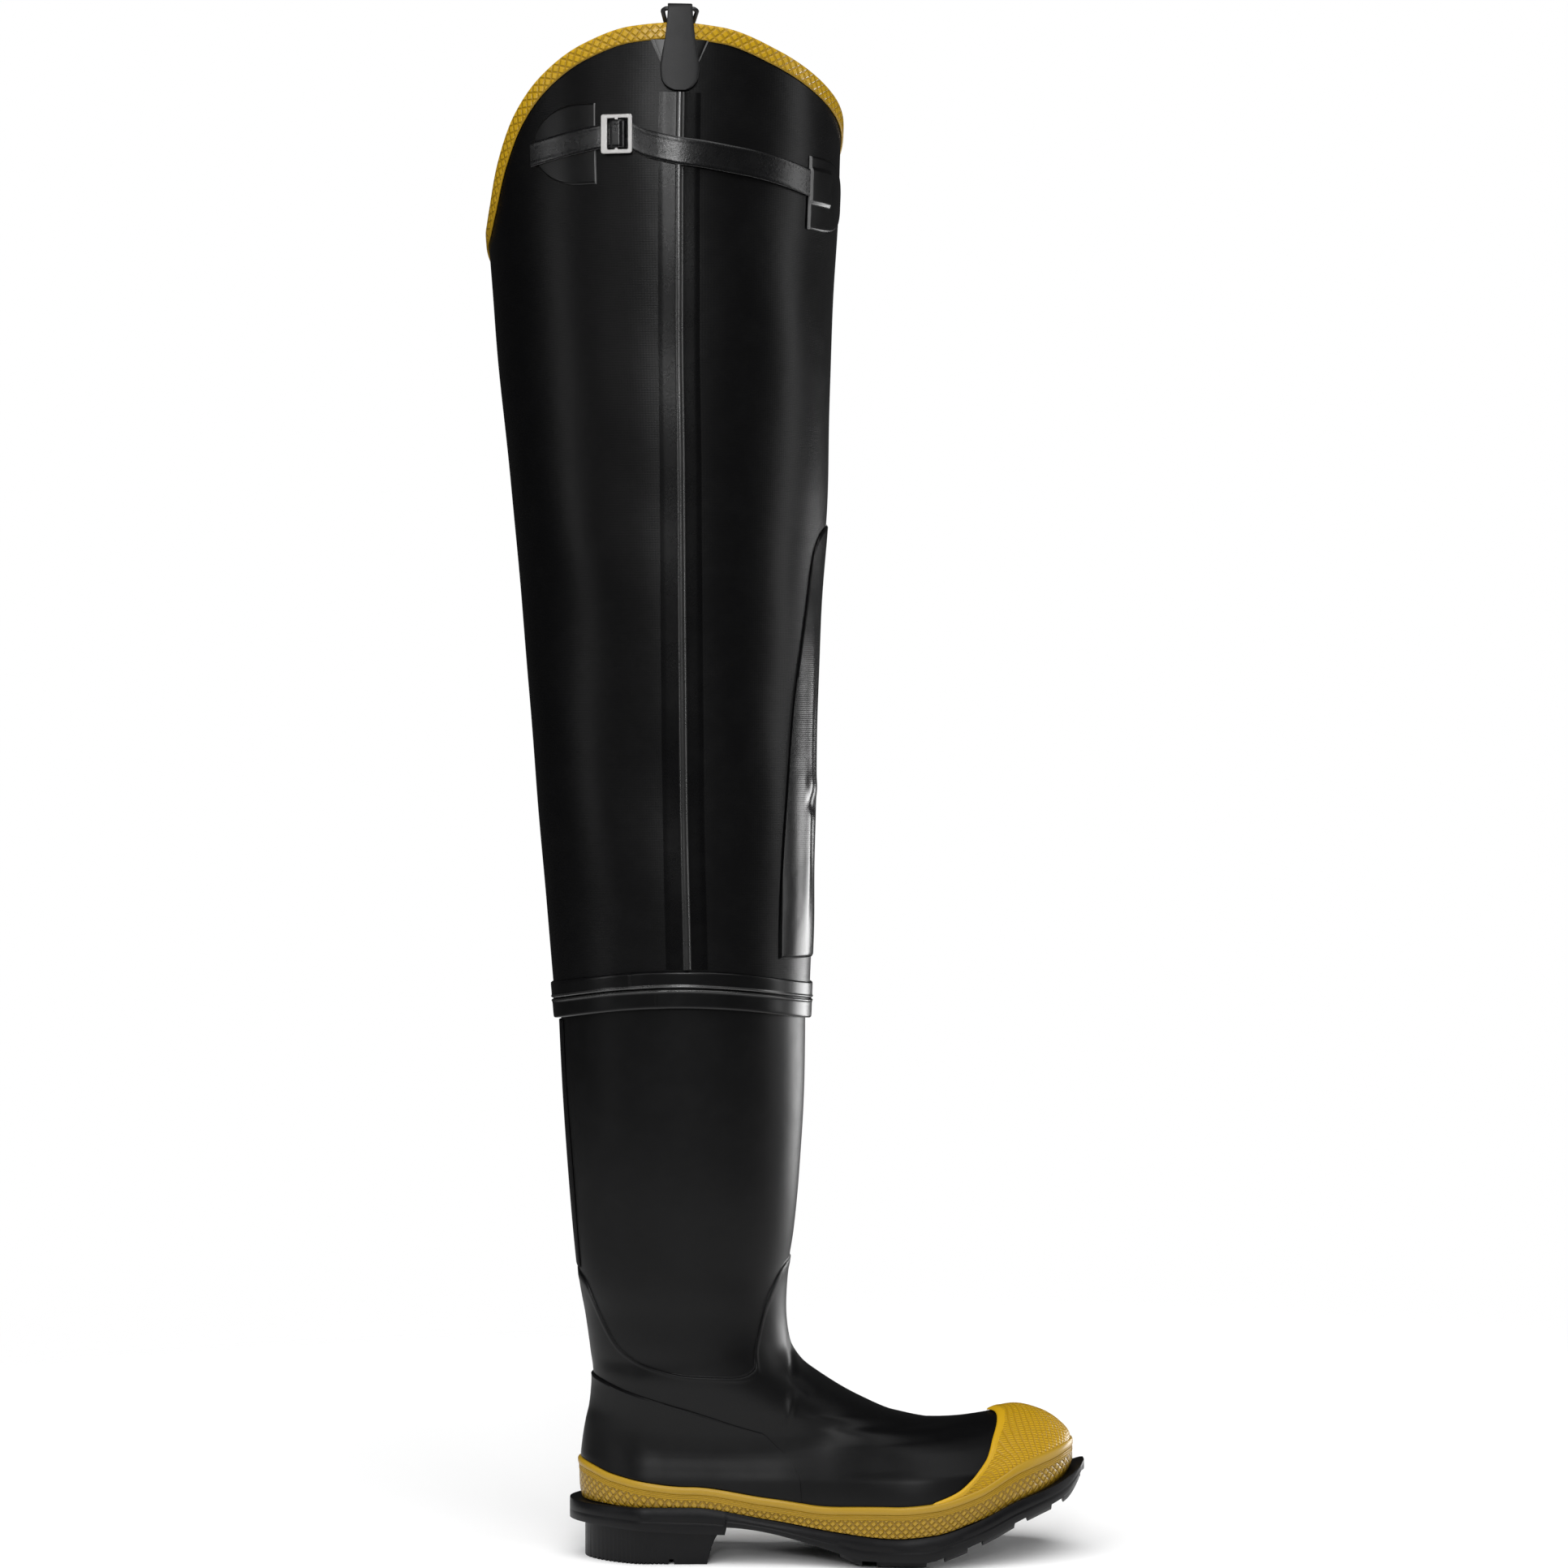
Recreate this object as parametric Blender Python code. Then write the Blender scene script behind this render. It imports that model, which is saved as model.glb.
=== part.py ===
"""Hip wader for a right foot: a rubber boot with a long thigh shaft, metres, +Z up.

The toe points along +X and the outer side of the leg faces -Y. The origin is on the
floor under the middle of the heel. The foot and the lower leg are one shell through
tilted rings, from the sole's edge to the knee. The thigh shaft is lapped over it, and
straps, patches and bands lie a named gap off these two surfaces.
"""

import math

import bpy
import bmesh
import numpy as np
from mathutils import Matrix

# Driving sizes of the foot
SOLE_LENGTH = 0.3175
HEEL_SETBACK = 0.049
BALL_WIDTH = 0.112
SEAT_HEIGHT = 0.0355
INSTEP_RISE = 0.0845
TOE_SWING = 0.008

# Driving sizes of the leg
BOOT_TOP = 0.352
LEG_AXIS = 0.0205
KNEE_DEPTH = 0.1555
KNEE_WIDTH = 0.125
KNEE_ARCH = 0.009

# Driving sizes of the thigh shaft
COLLAR_TOP = 0.9245
COLLAR_DROP = 0.134
COLLAR_DEPTH = 0.2225
COLLAR_WIDTH = 0.176
COLLAR_SHIFT = 0.0122
LAP = 0.020

# Walls, gaps and sheet thicknesses
FOOT_WALL = 0.0024
SHAFT_WALL = 0.0016
FOOT_STEP = 0.0008
GAP = 0.0003
OVERLAY_GAP = 0.0013
FOXING_THICK = 0.0020
FOXING_BEAD = 0.0007
CAP_THICK = 0.0011
SHEET = 0.0010
TAPE_THICK = 0.0008
TAPE_RIDGE = 0.0014
BAND_THICK = 0.0014
BINDING_THICK = 0.0012
BINDING_WIDTH = 0.0085
INSOLE_THICK = 0.0040
INSOLE_PLAY = 0.0020

# Outsole sizes
OUTSOLE_MARGIN = 0.0042
FLANGE_BULGE = 0.0012
LUG_DEPTH = 0.0045
LUG_EDGE = 0.0045
LUG_DRAFT = 0.0012
TREAD_INSET = 0.0030
HEEL_INSET = 0.0055

# Straps and hardware
STRAP_THICK = 0.0016
REAR_STRAP_WIDTH = 0.0142
FRONT_STRAP_WIDTH = 0.0162
BELT_STRAP_THICK = 0.0014
BELT_STRAP_WIDTH = 0.0230
BUCKLE_THICK = 0.0018
BUCKLE_LENGTH = 0.019
BUCKLE_HEIGHT = 0.0235
BUCKLE_SIDE = 0.0026
BUCKLE_PLATE = 0.0040
BUCKLE_BAR = 0.0020
RING_WIRE = 0.0026
RING_WIDE = 0.0205
RING_NARROW = 0.0095
RING_LENGTH = 0.021
RING_LEAN = math.radians(34.0)
RING_CLEARANCE = 0.0004
RING_HEIGHT = 0.0094

# Mesh counts
FOOT_COLUMNS = 44
FOOT_ROWS = 12
LEG_ROWS = 6
SHAFT_COLUMNS = 40
SHAFT_ROWS = 11

LATERAL = -1.0
MEDIAL = 1.0

# Level of the outsole's upper face, which the upper and the foxing stand on
# columns: x share of SOLE_LENGTH, height share of SEAT_HEIGHT
SEAT_LINE = (
    (-0.160, 1.00), (0.080, 1.00), (0.233, 0.79), (0.375, 0.59), (0.466, 0.535),
    (0.545, 0.59), (0.624, 0.79), (0.702, 1.09), (0.784, 1.32), (0.818, 1.46), (0.845, 1.62),
)

# Foxing's upper edge above the seat line
# columns: x share of SOLE_LENGTH, height share of SEAT_HEIGHT above the seat line
FOXING_LINE = (
    (-0.140, 0.74), (-0.110, 0.66), (-0.063, 0.52), (0.082, 0.34), (0.315, 0.40),
    (0.466, 0.55), (0.551, 0.55), (0.630, 0.54), (0.709, 0.58), (0.787, 0.58), (0.840, 0.52),
)

# Foot half width without the rounding of heel and toe
# columns: x share of SOLE_LENGTH, lateral and medial shares of BALL_WIDTH
FOOT_WIDTHS = (
    (-0.126, 0.520, 0.520), (-0.031, 0.505, 0.505), (0.031, 0.430, 0.420),
    (0.126, 0.362, 0.335), (0.252, 0.340, 0.285), (0.346, 0.375, 0.330),
    (0.441, 0.455, 0.420), (0.520, 0.510, 0.487), (0.598, 0.545, 0.527),
    (0.677, 0.571, 0.558), (0.740, 0.586, 0.586), (0.803, 0.590, 0.590),
)

# Rings of the foot, sole edge to ankle
# columns: front x and back x as shares of SOLE_LENGTH, front and back height as shares
# of INSTEP_RISE above SEAT_HEIGHT, sag as a share of INSTEP_RISE, width share of the
# foot outline, narrowing of the front end, share of the leg's own width
FOOT_RINGS = (
    (0.801, -0.120, 0.000, 0.000, 0.000, 1.00, 0.00, 0.00),
    (0.813, -0.125, 0.266, 0.090, 0.150, 1.03, 0.00, 0.00),
    (0.810, -0.126, 0.420, 0.207, 0.160, 1.01, 0.00, 0.02),
    (0.790, -0.126, 0.515, 0.302, 0.170, 0.96, 0.06, 0.05),
    (0.754, -0.124, 0.594, 0.385, 0.160, 0.90, 0.14, 0.08),
    (0.708, -0.121, 0.633, 0.467, 0.150, 0.86, 0.26, 0.13),
    (0.646, -0.1165, 0.592, 0.562, 0.080, 0.84, 0.42, 0.20),
    (0.567, -0.110, 0.556, 0.669, 0.030, 0.86, 0.52, 0.30),
    (0.488, -0.107, 0.598, 0.763, 0.000, 0.90, 0.50, 0.44),
    (0.409, -0.1055, 0.716, 0.858, 0.000, 0.95, 0.40, 0.60),
    (0.340, -0.107, 0.864, 0.953, 0.000, 1.00, 0.25, 0.78),
)

# Rings of the leg, ankle to knee
# columns: front x and back x as shares of the boot's top depth from LEG_AXIS, front and
# back height as shares of the rise from ankle to BOOT_TOP, half width as a share of the
# boot's top width
LEG_RINGS = (
    (0.477, -0.367, 0.000, 0.018, 0.350),
    (0.430, -0.376, 0.055, 0.062, 0.354),
    (0.417, -0.390, 0.128, 0.124, 0.362),
    (0.424, -0.413, 0.223, 0.206, 0.380),
    (0.450, -0.435, 0.345, 0.336, 0.405),
    (0.475, -0.456, 0.505, 0.496, 0.437),
    (0.493, -0.479, 0.715, 0.715, 0.470),
    (0.500, -0.500, 1.000, 1.000, 0.500),
)

# Lower edge of the leg panel, a U on each side, above which the foot step ends
# columns: angle from the back in degrees, ring number
PANEL_LINE = (
    (0.0, 14.35), (22.0, 14.10), (34.0, 13.00), (48.0, 11.60), (64.0, 10.70), (84.0, 10.25),
    (104.0, 10.25), (122.0, 10.75), (134.0, 12.20), (146.0, 13.60), (162.0, 14.25), (180.0, 14.45),
)

# Rear border of the toe cap
# columns: angle from the back in degrees, ring number
CAP_LINE = (
    (114.0, 0.90), (122.0, 1.40), (129.0, 2.40), (137.0, 3.50), (146.0, 4.40),
    (158.0, 5.10), (170.0, 5.55), (180.0, 5.85),
)

# Upper edge of the heel counter
# columns: angle from the back in degrees, ring number
COUNTER_LINE = (
    (0.0, 9.60), (20.0, 9.40), (40.0, 8.90), (60.0, 8.20), (74.0, 7.30), (84.0, 6.20),
)

# Thigh shaft, knee to collar
# columns: height share of the shaft, flare share from knee to collar size, lean share
# of COLLAR_SHIFT
SHAFT_STATIONS = (
    (0.000, 0.000, 0.00), (0.047, 0.052, 0.06), (0.214, 0.209, 0.33), (0.382, 0.370, 0.52),
    (0.549, 0.582, 0.70), (0.717, 0.784, 0.92), (0.884, 0.948, 1.03), (1.000, 1.000, 1.00),
)

# Collar edge round the shaft
# columns: angle from the back in degrees, drop below COLLAR_TOP as share of COLLAR_DROP
COLLAR_LINE = (
    (0.0, 0.850), (10.0, 0.815), (17.0, 0.745), (27.0, 0.560), (38.0, 0.365), (50.0, 0.215),
    (66.0, 0.085), (82.0, 0.015), (96.0, 0.000), (110.0, 0.015), (130.0, 0.095),
    (153.0, 0.205), (180.0, 0.335), (205.0, 0.480), (230.0, 0.640), (260.0, 0.825),
    (290.0, 0.955), (318.0, 1.000), (342.0, 0.935), (360.0, 0.850),
)

# Tread lugs of the forefoot: start and end as shares of SOLE_LENGTH
FORE_LUGS = (
    (0.368, 0.410), (0.438, 0.532), (0.567, 0.611), (0.640, 0.702), (0.728, 0.776), (0.800, 0.838),
)

# Lowest line of the sole in front of the heel
# columns: x share of SOLE_LENGTH, height share of SEAT_HEIGHT
SPRING_LINE = (
    (0.115, 0.540), (0.151, 0.535), (0.368, 0.125), (0.410, 0.000), (0.536, 0.000), (0.567, 0.085),
    (0.665, 0.430), (0.702, 0.590), (0.750, 0.760), (0.787, 0.880), (0.810, 0.990), (0.838, 1.300),
)


def smooth(x, table, column=1):
    """Read a table column at x through a cubic curve with limited slopes."""
    rows = np.asarray(table, float)
    xs, ys = rows[:, 0], rows[:, column]
    x = np.clip(np.asarray(x, float), xs[0], xs[-1])
    step = np.diff(xs)
    slope = np.diff(ys) / step
    before, after = slope[:-1], slope[1:]
    same_way = before * after > 0.0
    safe_before = np.where(same_way, before, 1.0)
    safe_after = np.where(same_way, after, 1.0)
    weight = (2.0 * step[1:] + step[:-1]) / safe_before + (step[1:] + 2.0 * step[:-1]) / safe_after
    inner = np.where(same_way, 3.0 * (step[1:] + step[:-1]) / np.where(same_way, weight, 1.0), 0.0)
    tangent = np.concatenate(([slope[0]], inner, [slope[-1]]))
    k = np.clip(np.searchsorted(xs, x, side="right") - 1, 0, len(xs) - 2)
    h = step[k]
    s = (x - xs[k]) / h
    return ((2 * s ** 3 - 3 * s ** 2 + 1) * ys[k] + (s ** 3 - 2 * s ** 2 + s) * h * tangent[k]
            + (3 * s ** 2 - 2 * s ** 3) * ys[k + 1] + (s ** 3 - s ** 2) * h * tangent[k + 1])


def ease(x, start, end):
    """Rise from 0 at start to 1 at end along a smooth step."""
    s = np.clip((np.asarray(x, float) - start) / (end - start), 0.0, 1.0)
    return s * s * (3.0 - 2.0 * s)


def mirrored_angle(phi):
    """Angle from the back, 0 to 180 degrees, the same on both sides."""
    turned = np.mod(np.degrees(phi), 360.0)
    return np.minimum(turned, 360.0 - turned)


def seat_height(x):
    """Height of the outsole's upper face."""
    return SEAT_HEIGHT * smooth(np.asarray(x) / SOLE_LENGTH, SEAT_LINE)


def foxing_height(x):
    """Height of the foxing's upper edge."""
    return seat_height(x) + SEAT_HEIGHT * smooth(np.asarray(x) / SOLE_LENGTH, FOXING_LINE)


def toe_swing(x):
    """Inward swing of the foot's middle line towards the toe."""
    return TOE_SWING * ease(np.asarray(x) / SOLE_LENGTH, 0.47, 0.80)


BOOT_DEPTH = KNEE_DEPTH - 2.0 * (SHAFT_WALL + GAP)
BOOT_WIDTH = KNEE_WIDTH - 2.0 * (SHAFT_WALL + GAP)
ANKLE_HEIGHT = SEAT_HEIGHT + INSTEP_RISE
LEG_RISE = BOOT_TOP - ANKLE_HEIGHT


def ring_table():
    """Both ring tables as lengths: front x, back x, front z, back z, sag, width share,
    narrowing, leg share, leg half width."""
    first_leg = LEG_RINGS[0][4] * BOOT_WIDTH
    rows = [(fx * SOLE_LENGTH, bx * SOLE_LENGTH, SEAT_HEIGHT + fz * INSTEP_RISE,
             SEAT_HEIGHT + bz * INSTEP_RISE, sag * INSTEP_RISE, share, narrow, leg, first_leg)
            for fx, bx, fz, bz, sag, share, narrow, leg in FOOT_RINGS]
    rows += [(LEG_AXIS + fx * BOOT_DEPTH, LEG_AXIS + bx * BOOT_DEPTH, ANKLE_HEIGHT + fz * LEG_RISE,
              ANKLE_HEIGHT + bz * LEG_RISE, 0.0, 1.0, 0.0, 1.0, half * BOOT_WIDTH)
             for fx, bx, fz, bz, half in LEG_RINGS]
    return np.array([(number,) + row for number, row in enumerate(rows)])


RINGS = ring_table()
LAST_RING = float(len(RINGS) - 1)


def upper_points(ring, phi):
    """Points of the boot's outer surface: ring number upwards, angle from the back.

    A ring runs from its back point to its front point, and its half width follows the
    sine of the angle, so heel and toe are round. Foot rings take the foot outline, leg
    rings the leg's own width, and the rings between them a share of both.
    """
    ring, phi = np.broadcast_arrays(np.asarray(ring, float), np.asarray(phi, float))
    front_x, back_x, front_z, back_z, sag, share, narrow, leg, leg_half = (
        smooth(ring, RINGS, column) for column in range(1, 10))
    along = 0.5 * (1.0 - np.cos(phi))
    x = back_x + (front_x - back_x) * along
    dip = (1.0 - np.exp(-(1.0 - along) / 0.06)) * (1.0 - (1.0 - along) ** 3)
    z = back_z + (front_z - back_z) * along - sag * dip
    z = z + (seat_height(x) + GAP - SEAT_HEIGHT) * (1.0 - np.clip(ring, 0.0, 1.0))
    place = x / SOLE_LENGTH
    lateral = np.sin(phi) > 0.0
    outline = BALL_WIDTH * np.where(lateral, smooth(place, FOOT_WIDTHS, 1),
                                    smooth(place, FOOT_WIDTHS, 2))
    foot = outline * share * (1.0 - narrow * along ** 4)
    half = foot + (leg_half - foot) * leg
    y = -half * np.sin(phi) + toe_swing(x) * (1.0 - leg)
    return np.stack([x, y, z], axis=-1)


def outward(function, first, phi, out):
    """Points of a surface function moved out along its normal."""
    small = 1e-4
    first, phi, out = np.broadcast_arrays(np.asarray(first, float), np.asarray(phi, float),
                                          np.asarray(out, float))
    middle = function(first, phi)
    rise = function(first + small, phi) - function(first - small, phi)
    turn = function(first, phi + small) - function(first, phi - small)
    normal = np.cross(turn, rise)
    normal = normal / np.maximum(np.linalg.norm(normal, axis=-1, keepdims=True), 1e-12)
    return middle + normal * out[..., None]


def panel_ring(phi):
    """Ring number of the leg panel's lower edge."""
    return smooth(mirrored_angle(phi), PANEL_LINE)


def ring_at_height(height, phi, start, end):
    """Ring number where the surface crosses a height that depends on x."""
    rings = np.linspace(start, end, 240)
    found = []
    for angle in np.atleast_1d(phi):
        points = upper_points(rings, angle)
        over = points[:, 2] - height(points[:, 0])
        k = int(np.argmax(over > 0.0))
        k = max(k, 1)
        share = -over[k - 1] / (over[k] - over[k - 1])
        found.append(rings[k - 1] + (rings[k] - rings[k - 1]) * min(max(share, 0.0), 1.0))
    return np.array(found)


def shaft_points(height, phi):
    """Points of the thigh shaft's outer surface: height, angle from the back."""
    height, phi = np.broadcast_arrays(np.asarray(height, float), np.asarray(phi, float))
    share = (height - SHAFT_BOTTOM) / (COLLAR_TOP - SHAFT_BOTTOM)
    flare = smooth(share, SHAFT_STATIONS, 1)
    lean = smooth(share, SHAFT_STATIONS, 2)
    half_depth = 0.5 * (KNEE_DEPTH + (COLLAR_DEPTH - KNEE_DEPTH) * flare)
    half_width = 0.5 * (KNEE_WIDTH + (COLLAR_WIDTH - KNEE_WIDTH) * flare)
    x = LEG_AXIS - COLLAR_SHIFT * lean - half_depth * np.cos(phi)
    return np.stack([x, -half_width * np.sin(phi), height], axis=-1)


def arch(phi):
    """Rise of the knee bands towards the sides."""
    return KNEE_ARCH * np.sin(phi) ** 2


SHAFT_BOTTOM = BOOT_TOP - LAP


def collar_height(phi):
    """Height of the shaft's cut edge."""
    turned = np.mod(np.degrees(phi), 360.0)
    return COLLAR_TOP - COLLAR_DROP * smooth(turned, COLLAR_LINE)


def angles(columns, start=0.0, end=360.0, closed=True):
    """Angles in radians, evenly spread."""
    return np.radians(np.linspace(start, end, columns, endpoint=not closed))


# Meshes and materials


def material(name, colour, roughness, metallic=0.0):
    """A plain Principled material."""
    made = bpy.data.materials.new(name)
    made.use_nodes = True
    shader = made.node_tree.nodes["Principled BSDF"]
    shader.inputs["Base Color"].default_value = (*colour, 1.0)
    shader.inputs["Roughness"].default_value = roughness
    shader.inputs["Metallic"].default_value = metallic
    return made


def add_object(name, shape, finish):
    """Link a mesh or a curve as a named piece with its own material."""
    piece = bpy.data.objects.new(name, shape)
    shape.materials.append(material(name + "_finish", *finish))
    bpy.data.collections["HipWader"].objects.link(piece)
    return piece


def mesh_from(name, points, faces):
    """A mesh with doubled points merged and its faces turned outwards."""
    mesh = bpy.data.meshes.new(name)
    mesh.from_pydata([tuple(point) for point in points], [], faces)
    work = bmesh.new()
    work.from_mesh(mesh)
    bmesh.ops.remove_doubles(work, verts=work.verts, dist=2e-5)
    bmesh.ops.recalc_face_normals(work, faces=work.faces)
    work.to_mesh(mesh)
    work.free()
    return mesh


def grid_faces(rows, columns, wrap):
    """Four-sided faces of a grid, joined round its columns if it wraps."""
    last = columns if wrap else columns - 1
    return [(r * columns + c, r * columns + (c + 1) % columns,
             (r + 1) * columns + (c + 1) % columns, (r + 1) * columns + c)
            for r in range(rows - 1) for c in range(last)]


def add_patch(name, function, rows, phi, base, thick, finish):
    """A sheet on a surface function: two layers a thickness apart, walled at its edge."""
    under = outward(function, rows, phi, base)
    over = outward(function, rows, phi, base + thick)
    count, columns = under.shape[:2]
    layer = count * columns
    faces = [tuple(reversed(face)) for face in grid_faces(count, columns, False)]
    faces += [tuple(corner + layer for corner in face) for face in grid_faces(count, columns, False)]
    rim = ([(0, c) for c in range(columns)] + [(r, columns - 1) for r in range(1, count)]
           + [(count - 1, c) for c in range(columns - 2, -1, -1)]
           + [(r, 0) for r in range(count - 2, 0, -1)])
    loop = [r * columns + c for r, c in rim]
    faces += [(loop[k], loop[(k + 1) % len(loop)], loop[(k + 1) % len(loop)] + layer, loop[k] + layer)
              for k in range(len(loop))]
    points = np.concatenate([under.reshape(-1, 3), over.reshape(-1, 3)])
    return add_object(name, mesh_from(name, points, faces), finish)


def add_loft(name, sections, finish, closed_path=False):
    """A solid through closed sections, capped at its ends or joined into a ring."""
    sections = np.asarray(sections)
    count, sides = sections.shape[:2]
    faces = grid_faces(count, sides, True)
    if closed_path:
        faces += [((count - 1) * sides + c, (count - 1) * sides + (c + 1) % sides,
                   (c + 1) % sides, c) for c in range(sides)]
    else:
        faces += [tuple(range(sides)), tuple((count - 1) * sides + c for c in range(sides))]
    mesh = mesh_from(name, sections.reshape(-1, 3), faces)
    return add_object(name, mesh, finish)


# Finishes: colour, roughness, metallic
BLACK_RUBBER = ((0.012, 0.012, 0.013), 0.42)
GLOSS_RUBBER = ((0.009, 0.009, 0.010), 0.25)
SOLE_RUBBER = ((0.014, 0.014, 0.015), 0.55)
YELLOW_RUBBER = ((0.61, 0.38, 0.020), 0.45)
INSOLE_CLOTH = ((0.09, 0.085, 0.08), 0.85)
BRIGHT_STEEL = ((0.62, 0.61, 0.60), 0.28, 1.0)
DARK_STEEL = ((0.03, 0.03, 0.032), 0.40, 0.8)


# Foot and lower leg


def upper_rows(phi):
    """Ring numbers of the upper's rows: foot rows to the panel's edge, a step, leg rows."""
    edge = panel_ring(phi)
    low = np.array((0.0, 0.5))[:, None] + 0.0 * edge
    foot = np.concatenate([low, 1.0 + np.linspace(0.0, 1.0, FOOT_ROWS - 2)[:, None] * (edge - 1.0)])
    leg_start = edge + 0.06
    leg = leg_start + np.linspace(0.0, 1.0, LEG_ROWS + 1)[:, None] * (LAST_RING - leg_start)
    return foot, leg


def foot_columns(start, end):
    """Angles of the upper's own columns between two angles in degrees."""
    step = 360.0 / FOOT_COLUMNS
    return np.radians(np.arange(math.ceil(start / step), math.floor(end / step) + 1) * step)


def overlay_rows(phi, lower, upper):
    """The upper's own rows cut off at two edges, so that an overlay's facets match."""
    foot, leg = upper_rows(phi)
    return np.clip(np.concatenate([foot, leg]), lower, upper)


def build_upper():
    """The hollow boot: outer surface with the foot step, wall inwards."""
    phi = angles(FOOT_COLUMNS)
    foot, leg = upper_rows(phi)
    outer = np.concatenate([outward(upper_points, foot, phi, FOOT_STEP),
                            outward(upper_points, leg, phi, 0.0)])
    outer[0, :, 2] = seat_height(outer[0, :, 0]) + 2.0 * GAP
    inner = np.concatenate([outward(upper_points, foot, phi, -FOOT_WALL),
                            outward(upper_points, leg, phi, -FOOT_WALL)])
    inner[0, :, 2] = seat_height(inner[0, :, 0]) + 2.0 * GAP
    sections = np.concatenate([outer, inner[::-1]]).transpose(1, 0, 2)
    return add_loft("upper", sections, GLOSS_RUBBER, closed_path=True)


def build_foxing():
    """The yellow band above the sole, with a rounded strip along its upper edge."""
    phi = angles(FOOT_COLUMNS)
    top = ring_at_height(foxing_height, phi, 0.0, 6.0)
    base = FOOT_STEP + GAP
    full = base + FOXING_THICK
    third = upper_rows(phi)[0][3]
    levels = [0.0 * top, 0.0 * top + 0.5, np.minimum(top, 1.0), np.minimum(top, third), top]
    section = [outward(upper_points, level, phi, base) for level in levels]
    section[0] = outward(upper_points, levels[0], phi, base + GAP)
    crown = [top, 0.92 * top, 0.80 * top, 0.74 * top, 0.0 * top + 0.5, 0.0 * top]
    outs = (full - FOXING_BEAD, full + FOXING_BEAD, full + 0.6 * FOXING_BEAD, full, full, full)
    section += [outward(upper_points, level, phi, out) for level, out in zip(crown, outs)]
    for row in (section[0], section[-1]):
        row[:, 2] = seat_height(row[:, 0]) + 2.0 * GAP
    return add_loft("foxing_band", np.stack(section, axis=1), YELLOW_RUBBER, closed_path=True)


def patch_rows(lower, upper, steps):
    """Rows spread between two edges that vary with the columns."""
    return lower + np.linspace(0.0, 1.0, steps)[:, None] * (upper - lower)


def build_toe_cap():
    """The yellow cap over the toe, from the foxing's edge to its rear border."""
    start = CAP_LINE[0][0]
    phi = foot_columns(start, 360.0 - start)
    lower = ring_at_height(foxing_height, phi, 0.0, 6.0) + 0.12
    border = np.maximum(smooth(mirrored_angle(phi), CAP_LINE), lower)
    rows = overlay_rows(phi, lower, border)
    return add_patch("toe_cap", upper_points, rows, phi, FOOT_STEP + OVERLAY_GAP, CAP_THICK, YELLOW_RUBBER)


def build_heel_counter():
    """Low piece round the heel above the foxing."""
    end = COUNTER_LINE[-1][0]
    phi = foot_columns(-end, end)
    lower = ring_at_height(foxing_height, phi, 0.0, 6.0) + 0.15
    border = np.maximum(smooth(mirrored_angle(phi), COUNTER_LINE), lower)
    rows = overlay_rows(phi, lower, border)
    return add_patch("heel_counter", upper_points, rows, phi, FOOT_STEP + OVERLAY_GAP, SHEET, GLOSS_RUBBER)


def build_back_stay():
    """Strip up the back of the leg, from the foot piece to the knee band."""
    phi = angles(5, -15.0, 15.0, closed=False)
    lower = panel_ring(phi) + 0.15
    band = knee_band_height(phi, LOWER_BAND[0]) - 4.0 * GAP
    upper = ring_at_height(lambda x: band.min() + 0.0 * x, phi, 12.0, LAST_RING)
    rows = patch_rows(lower, upper, 7)
    return add_patch("back_stay", upper_points, rows, phi, GAP, SHEET, GLOSS_RUBBER)


# Outsole and insole


def outline_half(x, margin, back, front, side):
    """Half width of the sole's outline at x, with round ends at back and front."""
    along = np.clip((x - back) / (front - back), 0.0, 1.0)
    column = 1 if side == LATERAL else 2
    width = BALL_WIDTH * smooth(x / SOLE_LENGTH, FOOT_WIDTHS, column) + margin
    return width * 2.0 * np.sqrt(along * (1.0 - along))


SOLE_BACK = -HEEL_SETBACK
SOLE_FRONT = SOLE_LENGTH - HEEL_SETBACK
HEEL_BACK = SOLE_BACK + 0.0095
HEEL_FRONT = 0.0362
BREAST_RUN = 0.012
NOTCH = (0.0135, 0.0158)
NOTCH_DEPTH = 0.0030


def tread_stations():
    """Places along the sole and the height of its lowest face there."""
    stations = []
    ends = 0.5 * (1.0 - np.cos(np.linspace(0.0, math.pi, 27)))
    for x in SOLE_BACK + SOLE_LENGTH * (0.004 + 0.992 * ends):
        stations.append(float(x))
    lugs = [(start * SOLE_LENGTH, end * SOLE_LENGTH) for start, end in FORE_LUGS]
    for start, end in lugs:
        stations += [start - LUG_DRAFT, start, end, end + LUG_DRAFT]
    stations += [HEEL_BACK, HEEL_BACK + 0.0004, HEEL_BACK + 0.002, HEEL_BACK + 0.006, HEEL_FRONT,
                 HEEL_FRONT + 0.2 * BREAST_RUN, HEEL_FRONT + 0.5 * BREAST_RUN, HEEL_FRONT + BREAST_RUN,
                 NOTCH[0] - 0.001, NOTCH[0], NOTCH[1], NOTCH[1] + 0.004]
    stations = sorted(stations)
    kept = [stations[0]]
    for x in stations[1:]:
        if x - kept[-1] > 3.5e-4:
            kept.append(x)
    return kept, lugs


def flange_bottom(x):
    """Height of the flange's lower edge."""
    spring = SEAT_HEIGHT * smooth(x / SOLE_LENGTH, SPRING_LINE)
    behind = SEAT_HEIGHT * (0.66 - 0.125 * ease(x, SOLE_BACK, HEEL_FRONT + BREAST_RUN))
    return behind if x < HEEL_FRONT + BREAST_RUN else min(spring + LUG_DEPTH + 0.001 * ease(
        x, 0.36 * SOLE_LENGTH, 0.40 * SOLE_LENGTH), seat_height(x) - 0.004)


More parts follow.
